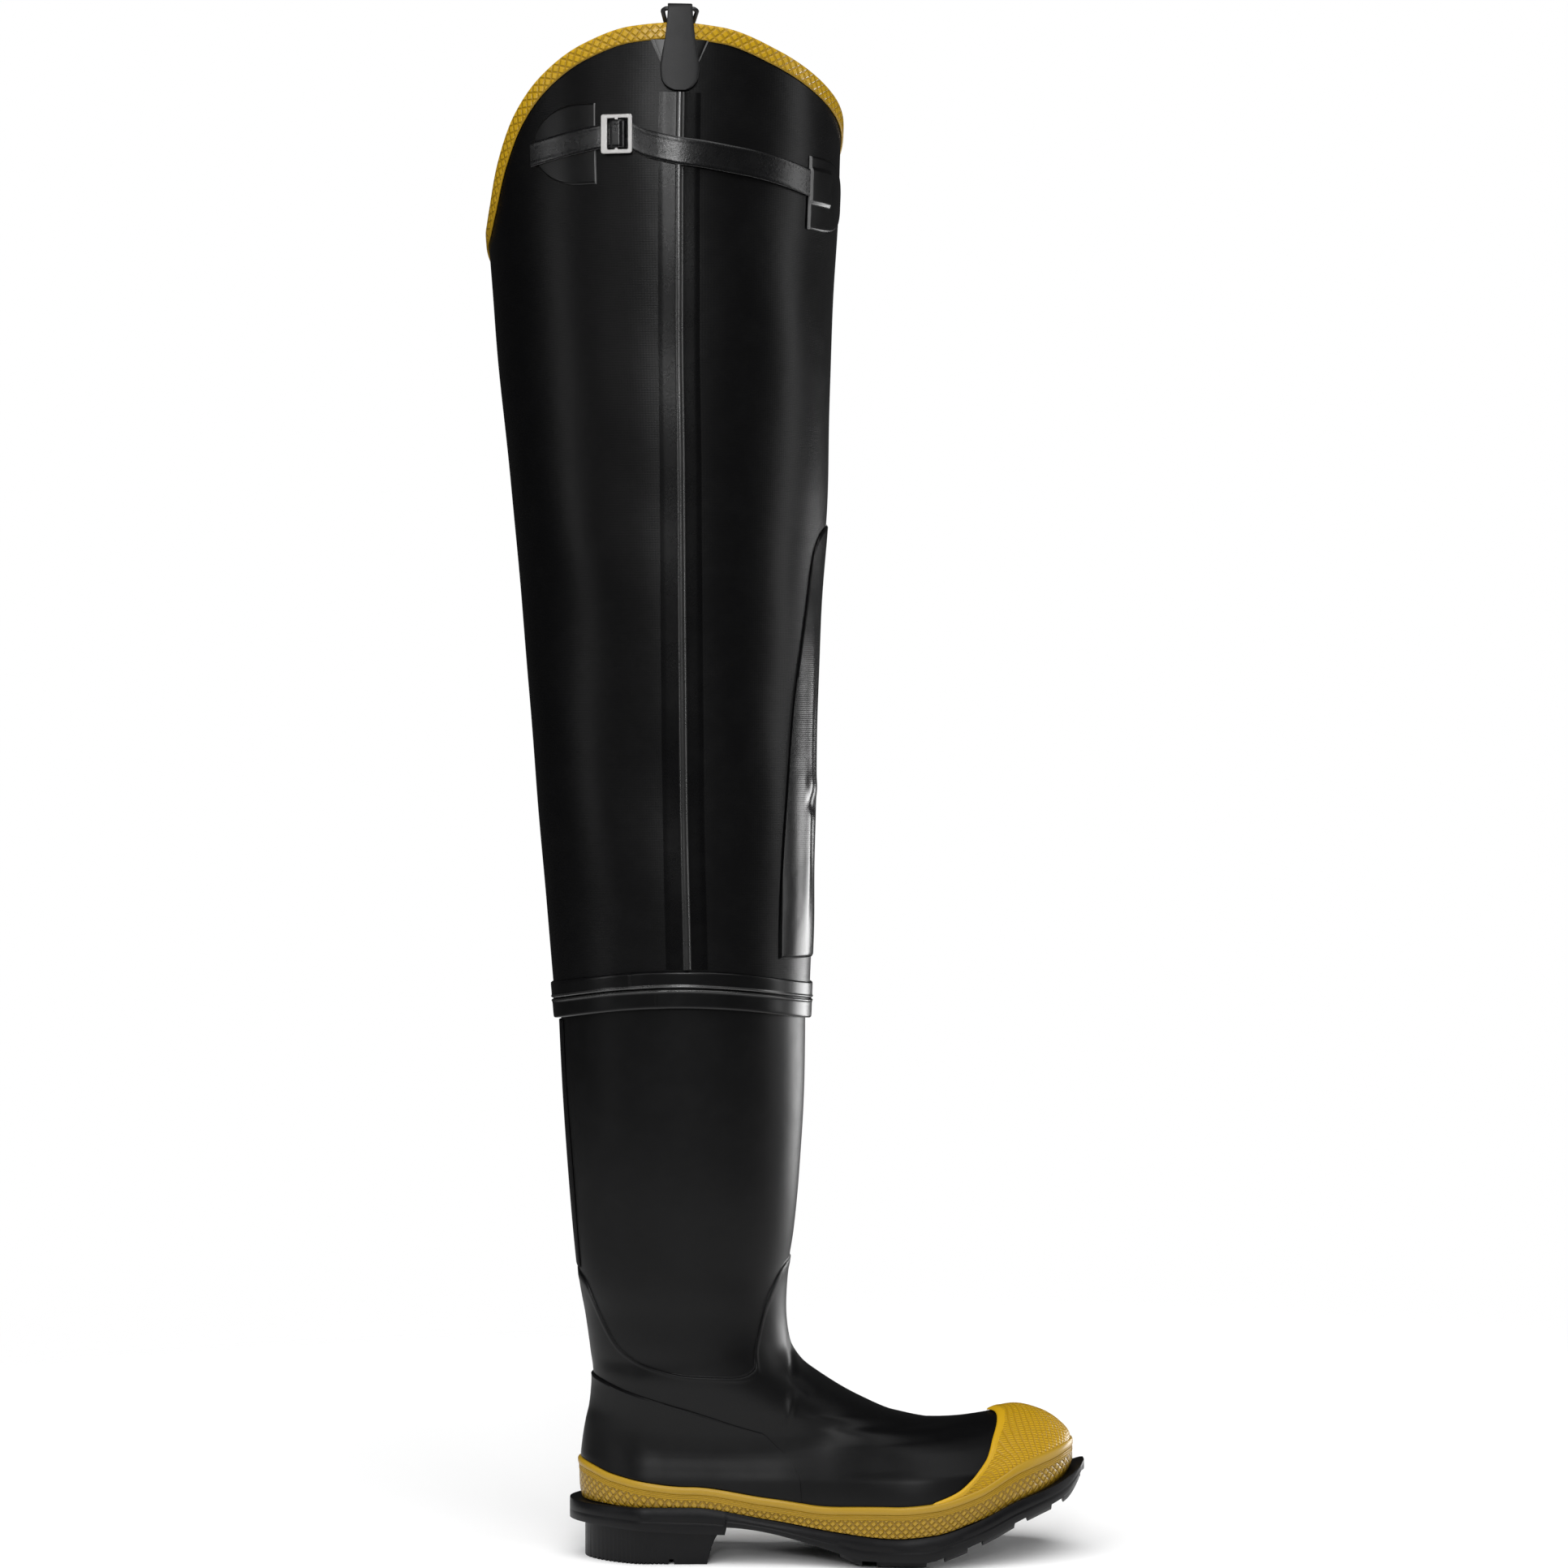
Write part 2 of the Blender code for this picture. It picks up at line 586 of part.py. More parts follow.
def tread_height(x, lugs):
    """Height of the lowest face: heel, arch, lugs and the grooves between them."""
    flange = float(flange_bottom(x))
    if x < HEEL_BACK + 1e-5:
        return flange
    if x <= HEEL_FRONT + 1e-6:
        in_notch = NOTCH[0] - 1e-6 <= x <= NOTCH[0] + 1e-6
        return NOTCH_DEPTH if in_notch else 0.0
    if x < HEEL_FRONT + BREAST_RUN:
        share = (x - HEEL_FRONT) / BREAST_RUN
        return flange * (1.0 - (1.0 - share) ** 2.5) + 0.35 * flange * share * (1.0 - share)
    if any(start - 1e-6 <= x <= end + 1e-6 for start, end in lugs):
        return float(SEAT_HEIGHT * smooth(x / SOLE_LENGTH, SPRING_LINE))
    return flange


def sole_section(x, lugs):
    """Closed outline across the sole at x, lateral side first."""
    top = float(seat_height(x))
    flange = float(flange_bottom(x))
    low = tread_height(x, lugs)
    swing = float(toe_swing(x))
    in_heel = x < HEEL_FRONT + BREAST_RUN
    inset = HEEL_INSET if in_heel else TREAD_INSET
    back = HEEL_BACK if in_heel else SOLE_BACK
    corner = 0.0008 if in_heel else LUG_EDGE
    rim, body = [], []
    for side in (LATERAL, MEDIAL):
        half = float(outline_half(x, OUTSOLE_MARGIN, SOLE_BACK, SOLE_FRONT, side))
        tread = float(outline_half(x, OUTSOLE_MARGIN - inset, back, SOLE_FRONT - inset, side))
        tread = max(min(tread, half - 0.0008), 0.0006)
        inner = max(0.62 * tread, tread - 0.016) if not in_heel else tread - min(0.0010, 0.4 * tread)
        edge = min(low + corner, flange - 2e-4) if low < flange - 1e-4 else flange - 1e-4
        bottom = low if low < flange - 1e-4 else flange - 2e-4
        rim.append([(half, top), (half + FLANGE_BULGE, 0.5 * (top + flange)),
                    (half + 0.3 * FLANGE_BULGE, flange + 0.0012), (half - 0.0006, flange)])
        body.append([(tread, flange - 5e-5), (tread - 0.0003, edge), (inner - 0.0003, bottom)])
    lateral = [(x, swing - y, z) for y, z in rim[0] + body[0]]
    medial = [(x, swing + y, z) for y, z in rim[1] + body[1]]
    return lateral + medial[::-1]


def build_outsole():
    """The moulded sole with its heel block, arch and tread lugs."""
    stations, lugs = tread_stations()
    sections = [sole_section(x, lugs) for x in stations]
    return add_loft("outsole", sections, SOLE_RUBBER)


def build_insole():
    """The footbed on the sole, inside the boot's wall."""
    inset = -(FOOT_WALL + INSOLE_PLAY)
    front = FOOT_RINGS[0][0] * SOLE_LENGTH + inset
    back = FOOT_RINGS[0][1] * SOLE_LENGTH - inset
    sections = []
    stations, _ = tread_stations()
    for x in [x for x in stations if back + INSOLE_PLAY < x < front - INSOLE_PLAY]:
        base = float(seat_height(x)) + GAP
        lateral = toe_swing(x) - 0.95 * outline_half(x, inset, back, front, LATERAL)
        medial = toe_swing(x) + 0.95 * outline_half(x, inset, back, front, MEDIAL)
        sections.append([(x, lateral, base), (x, medial, base),
                         (x, medial, base + INSOLE_THICK), (x, lateral, base + INSOLE_THICK)])
    return add_loft("insole", sections, INSOLE_CLOTH)


# Thigh shaft and what lies on it

# Knee bands: lower edge, upper edge and middle bulge, as heights above SHAFT_BOTTOM
LOWER_BAND = (-0.0015, 0.0100)
UPPER_BAND = (0.0106, 0.0205)


def knee_band_height(phi, rise):
    """Height of a knee band's edge round the leg."""
    return SHAFT_BOTTOM + rise + arch(phi)


def build_shaft():
    """The hollow thigh shaft, lapped over the boot and cut along the collar line."""
    phi = angles(SHAFT_COLUMNS)
    bottom = SHAFT_BOTTOM + arch(phi)
    shares = np.concatenate([[0.0, 0.05], np.linspace(0.14, 1.0, SHAFT_ROWS - 2)])
    rows = bottom + shares[:, None] * (collar_height(phi) - bottom)
    outer = outward(shaft_points, rows, phi, 0.0)
    inner = outward(shaft_points, rows, phi, -SHAFT_WALL)
    sections = np.concatenate([outer, inner[::-1]]).transpose(1, 0, 2)
    return add_loft("thigh_shaft", sections, BLACK_RUBBER, closed_path=True)


def build_binding():
    """The binding folded over the collar's edge, outside, over the top and inside."""
    phi = angles(SHAFT_COLUMNS)
    rim = collar_height(phi)
    far = GAP + BINDING_THICK
    deep = SHAFT_WALL + GAP
    profile = ((GAP, -BINDING_WIDTH), (far, -BINDING_WIDTH), (far, 0.2 * far), (0.45 * far, far),
               (-deep - 0.45 * far, far), (-deep - BINDING_THICK, 0.2 * far),
               (-deep - BINDING_THICK, -BINDING_WIDTH), (-deep, -BINDING_WIDTH), (-deep, GAP), (GAP, GAP))
    section = [outward(shaft_points, rim + up, phi, out) for out, up in profile]
    return add_loft("collar_binding", np.stack(section, axis=1), YELLOW_RUBBER, closed_path=True)


def build_knee_band(name, edges):
    """One rubber band round the lap, slightly crowned."""
    phi = angles(SHAFT_COLUMNS)
    low, high = edges
    middle = 0.5 * (low + high)
    profile = ((GAP, low), (GAP + 0.5 * BAND_THICK, low), (GAP + BAND_THICK, middle),
               (GAP + 0.6 * BAND_THICK, high), (GAP, high))
    section = [outward(shaft_points, knee_band_height(phi, rise), phi, out)
               for out, rise in profile]
    return add_loft(name, np.stack(section, axis=1), GLOSS_RUBBER, closed_path=True)


# Knee patch, above the boot's top
# columns: share of the half angle, top edge as share of PATCH_HEIGHT
PATCH_LIFT = 0.016
PATCH_HEIGHT = 0.270
PATCH_HALF = 41.0
PATCH_LINE = (
    (0.00, 0.985), (0.30, 0.965), (0.45, 0.93), (0.60, 0.80), (0.75, 0.64), (0.88, 0.44),
    (0.96, 0.22), (1.00, 0.06),
)


def build_knee_patch():
    """Tombstone-shaped reinforcement on the front of the knee and shin."""
    spread = np.linspace(-1.0, 1.0, 13)
    phi = math.pi + np.radians(PATCH_HALF) * spread
    bottom = BOOT_TOP + PATCH_LIFT
    top = bottom + PATCH_HEIGHT * smooth(np.abs(spread), PATCH_LINE)
    low = bottom + 0.0 * spread
    rows = patch_rows(low, top, 8)
    return add_patch("knee_patch", shaft_points, rows, phi, GAP, SHEET, BLACK_RUBBER)


# Side seam tape on the outer side, ending just below the belt strap's foot
BELT_FOOT = 0.0390
TAPE_WIDTH = 0.0250
TAPE_TOP = COLLAR_TOP - BELT_FOOT - SHEET
TAPE_TOP_ANGLE = 97.0
TAPE_FOOT_ANGLE = 93.5


def half_depth_at(height):
    """Half depth of the shaft along X at a height."""
    return float(0.5 * (shaft_points(height, math.pi)[0] - shaft_points(height, 0.0)[0]))


def tape_section(height):
    """Closed section across the tape, with its raised middle."""
    reach = np.array((-0.5, -0.16, -0.05, 0.05, 0.16, 0.5)) * TAPE_WIDTH
    share = (height - SHAFT_BOTTOM) / (TAPE_TOP - SHAFT_BOTTOM)
    middle = math.radians(TAPE_FOOT_ANGLE + (TAPE_TOP_ANGLE - TAPE_FOOT_ANGLE) * share)
    phi = middle + reach / half_depth_at(height)
    out = GAP + TAPE_THICK + np.array((0.0, 0.0, TAPE_RIDGE, TAPE_RIDGE, 0.0, 0.0))
    over = outward(shaft_points, height, phi, out)
    under = outward(shaft_points, height, phi, GAP)
    return np.concatenate([over, under[::-1]])


def build_seam_tape():
    """Tape down the outer side, from the belt strap to the knee band."""
    side = math.radians(TAPE_FOOT_ANGLE)
    bottom = float(knee_band_height(side, UPPER_BAND[1])) + 4.0 * GAP
    sections = [tape_section(height) for height in np.linspace(bottom, TAPE_TOP, 12)]
    return add_loft("side_seam_tape", sections, BLACK_RUBBER)


# Thigh strap: heights below COLLAR_TOP, angles from the back in degrees
REAR_ANCHOR = (47.5, 70.5)
REAR_ANCHOR_DROP = 0.0695
REAR_ANCHOR_HEIGHT = 0.048
FRONT_ANCHOR = (145.5, 178.0)
FRONT_ANCHOR_DROP = 0.0935
FRONT_ANCHOR_HEIGHT = 0.044
FRONT_ANCHOR_RISE = 0.0012
BUCKLE_ANGLE = 77.6
BUCKLE_DROP = 0.0650
BUCKLE_STAND = 0.0030

# Rear strap, from its folded end to the buckle
# columns: angle, drop of its middle below COLLAR_TOP, distance of its under face
REAR_STRAP = (
    (46.6, 0.0735, 0.0016), (54.0, 0.0715, 0.0016), (62.0, 0.0690, 0.0016), (70.5, 0.0665, 0.0016),
    (73.0, 0.0658, 0.0010), (76.4, 0.0650, 0.0009),
)

# Front strap, from its hump over the buckle's bar to the front anchor
# columns as for the rear strap
FRONT_STRAP = (
    (75.9, 0.0650, 0.0053), (76.8, 0.0650, 0.0060), (78.5, 0.0650, 0.0060), (79.6, 0.0650, 0.0048),
    (80.9, 0.0652, 0.0012), (82.7, 0.0670, 0.0006), (86.0, 0.0700, 0.0010), (91.0, 0.0727, 0.0022),
    (97.0, 0.0750, 0.0029), (103.0, 0.0763, 0.0025), (112.0, 0.0785, 0.0015), (121.0, 0.0805, 0.0009),
    (130.0, 0.0830, 0.0007), (138.0, 0.0855, 0.0006), (145.1, 0.0877, 0.0006),
)


def build_strap(name, table, width):
    """A flat strap round the shaft, four-sided in section."""
    sections = []
    for angle, drop, stand in table:
        middle = COLLAR_TOP - drop
        height = np.array((middle - 0.5 * width, middle + 0.5 * width))
        phi = math.radians(angle)
        under = outward(shaft_points, height, phi, stand)
        over = outward(shaft_points, height, phi, stand + STRAP_THICK)
        sections.append(np.concatenate([under, over[::-1]]))
    return add_loft(name, sections, GLOSS_RUBBER)


def build_anchor(name, span, drop, height, round_side, rise):
    """A D-shaped patch: one straight edge, the other side round."""
    share = np.linspace(0.0, 1.0, 9)
    phi = np.radians(span[0] + (span[1] - span[0]) * share)
    far = 1.0 - share if round_side == "start" else share
    half = 0.5 * height * np.sqrt(1.0 - 0.97 * np.clip((far - 0.25) / 0.75, 0.0, 1.0) ** 2)
    middle = COLLAR_TOP - drop
    rows = patch_rows(middle - half, middle + half, 6)
    crown = np.sin(np.linspace(0.0, math.pi, 6))[:, None] * np.sin(math.pi * share)
    thick = SHEET + rise * crown
    return add_patch(name, shaft_points, rows, phi, GAP, thick, GLOSS_RUBBER)


def local_frame(angle, drop):
    """A place on the shaft with its level, outward and upward directions."""
    phi = math.radians(angle)
    height = COLLAR_TOP - drop
    origin = shaft_points(height, phi)
    out = outward(shaft_points, height, phi, 1.0) - origin
    out[2] = 0.0
    out = out / np.linalg.norm(out)
    along = np.cross(np.array((0.0, 0.0, 1.0)), out)
    return origin, along, out


def frame_matrix(origin, along, out):
    """World matrix whose X is level along the shaft, Y up and Z outwards."""
    up = np.cross(out, along)
    matrix = Matrix.Identity(4)
    for row in range(3):
        matrix[row][0], matrix[row][1] = along[row], up[row]
        matrix[row][2], matrix[row][3] = out[row], origin[row]
    return matrix


def rectangle_spline(curve, left, right, low, high):
    """Add a closed rectangle to a flat curve."""
    spline = curve.splines.new("POLY")
    corners = ((left, low), (right, low), (right, high), (left, high))
    spline.points.add(3)
    for point, (x, y) in zip(spline.points, corners):
        point.co = (x, y, 0.0, 1.0)
    spline.use_cyclic_u = True


def build_buckle():
    """The flat frame buckle: a wide rear plate, two windows and a middle bar."""
    origin, along, out = local_frame(BUCKLE_ANGLE, BUCKLE_DROP)
    curve = bpy.data.curves.new("strap_buckle", "CURVE")
    curve.dimensions = "2D"
    curve.fill_mode = "BOTH"
    curve.extrude = 0.5 * BUCKLE_THICK
    half_length, half_height = 0.5 * BUCKLE_LENGTH, 0.5 * BUCKLE_HEIGHT
    rectangle_spline(curve, -half_length, half_length, -half_height, half_height)
    inner = half_height - BUCKLE_SIDE
    rectangle_spline(curve, -half_length + BUCKLE_PLATE, -0.5 * BUCKLE_BAR, -inner, inner)
    rectangle_spline(curve, 0.5 * BUCKLE_BAR, half_length - BUCKLE_SIDE, -inner, inner)
    piece = add_object("strap_buckle", curve, BRIGHT_STEEL)
    seat = origin + out * (BUCKLE_STAND + 0.5 * BUCKLE_THICK)
    piece.matrix_world = frame_matrix(seat, along, out)
    return piece


# Belt strap: height of a station above the strap's foot as a share of its length up to
# the collar, and width share
BELT_ANGLE = 96.7
BELT_STAND = 0.0019
BELT_STRAP_LINE = (
    (0.000, 0.30), (0.020, 0.52), (0.070, 0.78), (0.150, 0.95), (0.280, 1.00), (0.420, 0.93),
    (0.620, 0.78), (0.800, 0.69), (1.000, 0.63),
)
EYE_TURN = math.radians(262.0)
EYE_STEPS = 9


def belt_section(height, out, width, thick_out, thick_up):
    """Closed section across the belt strap."""
    middle = math.radians(BELT_ANGLE)
    phi = middle + np.array((-0.5, 0.5)) * width / half_depth_at(COLLAR_TOP)
    under = outward(shaft_points, height - thick_up, phi, out - thick_out)
    over = outward(shaft_points, height + thick_up, phi, out + thick_out)
    return np.concatenate([under, over[::-1]])


def build_belt_strap():
    """The tapered strap, up the outside and round the ring's bar in an open eye."""
    half = 0.5 * BELT_STRAP_THICK
    foot = COLLAR_TOP - BELT_FOOT
    bar_height = COLLAR_TOP + RING_HEIGHT
    out = BELT_STAND + half
    sections = [belt_section(foot + (bar_height - foot) * share, out, BELT_STRAP_WIDTH * width, half, 0.0)
                for share, width in BELT_STRAP_LINE]
    radius = 0.5 * RING_WIRE + RING_CLEARANCE + half
    width = BELT_STRAP_WIDTH * BELT_STRAP_LINE[-1][1]
    for turn in np.linspace(0.0, EYE_TURN, EYE_STEPS + 1)[1:]:
        c, s = math.cos(turn), math.sin(turn)
        sections.append(belt_section(bar_height + radius * s, out - radius + radius * c, width,
                                     half * c, half * s))
    return add_loft("belt_strap", sections, BLACK_RUBBER)


def ring_bar():
    """Middle of the ring's bar, with the level and outward directions there."""
    origin, along, out = local_frame(BELT_ANGLE, 0.0)
    radius = 0.5 * RING_WIRE + RING_CLEARANCE
    place = origin + out * (BELT_STAND - radius) + np.array((0.0, 0.0, RING_HEIGHT))
    return place, along, out


def build_ring():
    """The wire ring, hanging from its wide bar and leaning over the collar's edge."""
    place, along, out = ring_bar()
    hang = -out * math.sin(RING_LEAN) - np.array((0.0, 0.0, math.cos(RING_LEAN)))
    wide, narrow, cut = 0.5 * RING_WIDE, 0.5 * RING_NARROW, RING_WIRE
    corners = ((-wide + cut, 0.0), (wide - cut, 0.0), (wide, 0.6 * cut),
               (narrow + 0.3 * cut, RING_LENGTH - cut), (narrow - 0.5 * cut, RING_LENGTH),
               (-narrow + 0.5 * cut, RING_LENGTH), (-narrow - 0.3 * cut, RING_LENGTH - cut),
               (-wide, 0.6 * cut))
    curve = bpy.data.curves.new("belt_ring", "CURVE")
    curve.dimensions = "3D"
    curve.bevel_depth = 0.5 * RING_WIRE
    curve.bevel_resolution = 2
    spline = curve.splines.new("POLY")
    spline.points.add(len(corners) - 1)
    for point, (level, down) in zip(spline.points, corners):
        x, y, z = along * level + hang * down
        point.co = (x, y, z, 1.0)
    spline.use_cyclic_u = True
    piece = add_object("belt_ring", curve, DARK_STEEL)
    pivot = bpy.data.objects.new("belt_ring_pivot", None)
    pivot.location = place
    bpy.data.collections["HipWader"].objects.link(pivot)
    piece.parent = pivot
    return piece


# V patch behind the belt strap, under the binding
GUSSET_WIDE = 0.0350
GUSSET_NARROW = 0.0200
GUSSET_HEIGHT = 0.0165


def build_gusset():
    """The V patch between the binding and the belt strap."""
    top = COLLAR_TOP - BINDING_WIDTH - 2.0 * GAP
    sections = []
    for share in np.linspace(0.0, 1.0, 4):
        width = GUSSET_NARROW + (GUSSET_WIDE - GUSSET_NARROW) * share
        height = top - GUSSET_HEIGHT * (1.0 - share)
        reach = np.array((-0.5, 0.0, 0.5)) * width / half_depth_at(COLLAR_TOP)
        phi = math.radians(BELT_ANGLE) + reach
        under = outward(shaft_points, height - 0.001, phi, GAP)
        over = outward(shaft_points, height - 0.001, phi, GAP + SHEET)
        sections.append(np.concatenate([under, over[::-1]]))
    return add_loft("belt_gusset", sections, GLOSS_RUBBER)


def reset_scene():
    """Remove what the scene holds and add the object's collection."""
    for piece in list(bpy.data.objects):
        bpy.data.objects.remove(piece, do_unlink=True)
    collection = bpy.data.collections.new("HipWader")
    bpy.context.scene.collection.children.link(collection)


def main():
    """Build every piece of the boot."""
    reset_scene()
    build_outsole()
    build_insole()
    build_upper()
    build_foxing()
    build_toe_cap()
    build_heel_counter()
    build_back_stay()
    build_shaft()
    build_binding()
    build_knee_band("knee_band_lower", LOWER_BAND)
    build_knee_band("knee_band_upper", UPPER_BAND)
    build_knee_patch()
    build_seam_tape()
    build_anchor("strap_anchor_rear", REAR_ANCHOR, REAR_ANCHOR_DROP, REAR_ANCHOR_HEIGHT, "start", 0.0)
    build_anchor("strap_anchor_front", FRONT_ANCHOR, FRONT_ANCHOR_DROP, FRONT_ANCHOR_HEIGHT, "end",
                 FRONT_ANCHOR_RISE)
    build_strap("thigh_strap_rear", REAR_STRAP, REAR_STRAP_WIDTH)
    build_strap("thigh_strap_front", FRONT_STRAP, FRONT_STRAP_WIDTH)
    build_buckle()
    build_gusset()
    build_belt_strap()
    build_ring()


main()
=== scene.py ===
"""Looks of a right hip wader: finer shells, creases, finishes, light and camera.

The tables and surface formulas are those of the boot's solids, read on finer grids.
Lengths are metres. The toe points along +X and the outer side of the leg faces -Y.
"""

import logging
import math
from collections.abc import Callable
from dataclasses import dataclass, field
from enum import Enum

import bmesh
import bpy
import numpy as np
from mathutils import Matrix


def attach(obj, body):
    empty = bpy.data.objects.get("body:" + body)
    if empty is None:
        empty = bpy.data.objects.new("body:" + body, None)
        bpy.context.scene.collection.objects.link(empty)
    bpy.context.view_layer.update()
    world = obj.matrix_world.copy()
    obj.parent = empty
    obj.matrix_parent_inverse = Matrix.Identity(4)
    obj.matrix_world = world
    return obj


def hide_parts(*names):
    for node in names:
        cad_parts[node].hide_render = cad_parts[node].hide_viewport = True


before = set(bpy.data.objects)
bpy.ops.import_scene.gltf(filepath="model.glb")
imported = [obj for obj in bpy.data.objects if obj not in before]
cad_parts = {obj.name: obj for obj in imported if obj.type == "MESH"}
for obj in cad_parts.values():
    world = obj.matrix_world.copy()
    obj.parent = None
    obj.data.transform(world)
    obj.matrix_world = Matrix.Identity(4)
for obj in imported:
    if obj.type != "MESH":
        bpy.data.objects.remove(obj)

log = logging.getLogger("hip_wader")

Array = np.ndarray
Table = tuple[tuple[float, ...], ...]
Value = bpy.types.NodeSocket | float
MM = 0.001

# Driving sizes of the foot and the leg
SOLE_LENGTH = 0.3175
HEEL_SETBACK = 0.049
BALL_WIDTH = 0.112
SEAT_HEIGHT = 0.0355
INSTEP_RISE = 0.0845
TOE_SWING = 0.008
BOOT_TOP = 0.352
LEG_AXIS = 0.0205
KNEE_DEPTH = 0.1555
KNEE_WIDTH = 0.125
KNEE_ARCH = 0.009

# Driving sizes of the thigh shaft
COLLAR_TOP = 0.9245
COLLAR_DROP = 0.134
COLLAR_DEPTH = 0.2225
COLLAR_WIDTH = 0.176
COLLAR_SHIFT = 0.0122
LAP = 0.020

# Walls, gaps and sheet thicknesses
FOOT_WALL = 0.0024
SHAFT_WALL = 0.0016
FOOT_STEP = 0.0008
GAP = 0.0003
OVERLAY_GAP = 0.0013
FOXING_THICK = 0.0020
CAP_THICK = 0.0011
SHEET = 0.0010
TAPE_THICK = 0.0008
TAPE_RIDGE = 0.0014
BAND_THICK = 0.0014
BINDING_THICK = 0.0012
BINDING_WIDTH = 0.0085
INSOLE_THICK = 0.0040
INSOLE_PLAY = 0.0020

# Outsole sizes
OUTSOLE_MARGIN = 0.0042
FLANGE_BULGE = 0.0012
LUG_DEPTH = 0.0045
LUG_EDGE = 0.0045
LUG_DRAFT = 0.0012
TREAD_INSET = 0.0030
HEEL_INSET = 0.0055

# Straps and hardware
STRAP_THICK = 0.0016
REAR_STRAP_WIDTH = 0.0142
FRONT_STRAP_WIDTH = 0.0162
BELT_STRAP_THICK = 0.0014
BELT_STRAP_WIDTH = 0.0230
BUCKLE_THICK = 0.0018
BUCKLE_LENGTH = 0.019
BUCKLE_HEIGHT = 0.0235
BUCKLE_SIDE = 0.0026
BUCKLE_PLATE = 0.0040
BUCKLE_BAR = 0.0020
RING_WIRE = 0.0026
RING_WIDE = 0.0205
RING_NARROW = 0.0095
RING_LENGTH = 0.021
RING_LEAN = math.radians(34.0)
RING_CLEARANCE = 0.0004
RING_HEIGHT = 0.0094
RING_SIDES = 20
BUCKLE_ANGLE = 77.6
BUCKLE_DROP = 0.0650
BUCKLE_STAND = 0.0030
BUCKLE_BEVEL = 0.00035

# Patches, tape, foxing strip and band ridges
TAPE_WIDTH = 0.0250
TAPE_TOP_ANGLE = 97.0
TAPE_FOOT_ANGLE = 93.5
REAR_ANCHOR = (47.5, 70.5)
REAR_ANCHOR_DROP = 0.0695
REAR_ANCHOR_HEIGHT = 0.048
FRONT_ANCHOR = (145.5, 178.0)
FRONT_ANCHOR_DROP = 0.0935
FRONT_ANCHOR_HEIGHT = 0.044
GUSSET_WIDE = 0.0350
GUSSET_NARROW = 0.0200
GUSSET_HEIGHT = 0.0165
FOXING_BEAD_HALF = 0.0022
FOXING_CROWN = 0.0009
FOXING_RIBS = 3
FOXING_RIB_PITCH = 0.0011
FOXING_RIB_RISE = 0.0002
BAND_RIDGE = 0.00055
BAND_LAP_RISE = 0.0007
BAND_LAP_ANGLE = 6.0
RIM_ROUNDING = 0.0020

# Meshes: edges sharper than this are drawn sharp, closer points are merged
SHARP_ANGLE = math.radians(42.0)
MERGE_DISTANCE = 5e-6

# Columns of the upper stand closer together round the creases
CREASE_ANGLE = math.radians(125.0)
CREASE_PULL = 0.40

# Map width of the leg and of the shaft for each radian
LEG_MAP_RADIUS = 0.070
SHAFT_MAP_RADIUS = 0.085

# Level of the outsole's upper face
# columns: x share of SOLE_LENGTH, height share of SEAT_HEIGHT
SEAT_LINE: Table = (
    (-0.160, 1.00), (0.080, 1.00), (0.233, 0.79), (0.375, 0.59), (0.466, 0.535),
    (0.545, 0.59), (0.624, 0.79), (0.702, 1.09), (0.784, 1.32), (0.818, 1.46), (0.845, 1.62),
)

# Foxing's upper edge above the seat line
# columns: x share of SOLE_LENGTH, height share of SEAT_HEIGHT above the seat line
FOXING_LINE: Table = (
    (-0.140, 0.74), (-0.110, 0.66), (-0.063, 0.52), (0.082, 0.34), (0.315, 0.40),
    (0.466, 0.55), (0.551, 0.55), (0.630, 0.54), (0.709, 0.58), (0.787, 0.58), (0.840, 0.52),
)

# Foot half width without the rounding of heel and toe
# columns: x share of SOLE_LENGTH, lateral and medial shares of BALL_WIDTH
FOOT_WIDTHS: Table = (
    (-0.126, 0.520, 0.520), (-0.031, 0.505, 0.505), (0.031, 0.430, 0.420),
    (0.126, 0.362, 0.335), (0.252, 0.340, 0.285), (0.346, 0.375, 0.330),
    (0.441, 0.455, 0.420), (0.520, 0.510, 0.487), (0.598, 0.545, 0.527),
    (0.677, 0.571, 0.558), (0.740, 0.586, 0.586), (0.803, 0.590, 0.590),
)

# Rings of the foot, sole edge to ankle
# columns: front x and back x as shares of SOLE_LENGTH, front and back height as shares
# of INSTEP_RISE above SEAT_HEIGHT, sag as a share of INSTEP_RISE, width share of the
# foot outline, narrowing of the front end, share of the leg's own width
FOOT_RINGS: Table = (
    (0.801, -0.120, 0.000, 0.000, 0.000, 1.00, 0.00, 0.00),
    (0.813, -0.125, 0.266, 0.090, 0.150, 1.03, 0.00, 0.00),
    (0.810, -0.126, 0.420, 0.207, 0.160, 1.01, 0.00, 0.02),
    (0.790, -0.126, 0.515, 0.302, 0.170, 0.96, 0.06, 0.05),
    (0.754, -0.124, 0.594, 0.385, 0.160, 0.90, 0.14, 0.08),
    (0.708, -0.121, 0.633, 0.467, 0.150, 0.86, 0.26, 0.13),
    (0.646, -0.1165, 0.592, 0.562, 0.080, 0.84, 0.42, 0.20),
    (0.567, -0.110, 0.556, 0.669, 0.030, 0.86, 0.52, 0.30),
    (0.488, -0.107, 0.598, 0.763, 0.000, 0.90, 0.50, 0.44),
    (0.409, -0.1055, 0.716, 0.858, 0.000, 0.95, 0.40, 0.60),
    (0.340, -0.107, 0.864, 0.953, 0.000, 1.00, 0.25, 0.78),
)

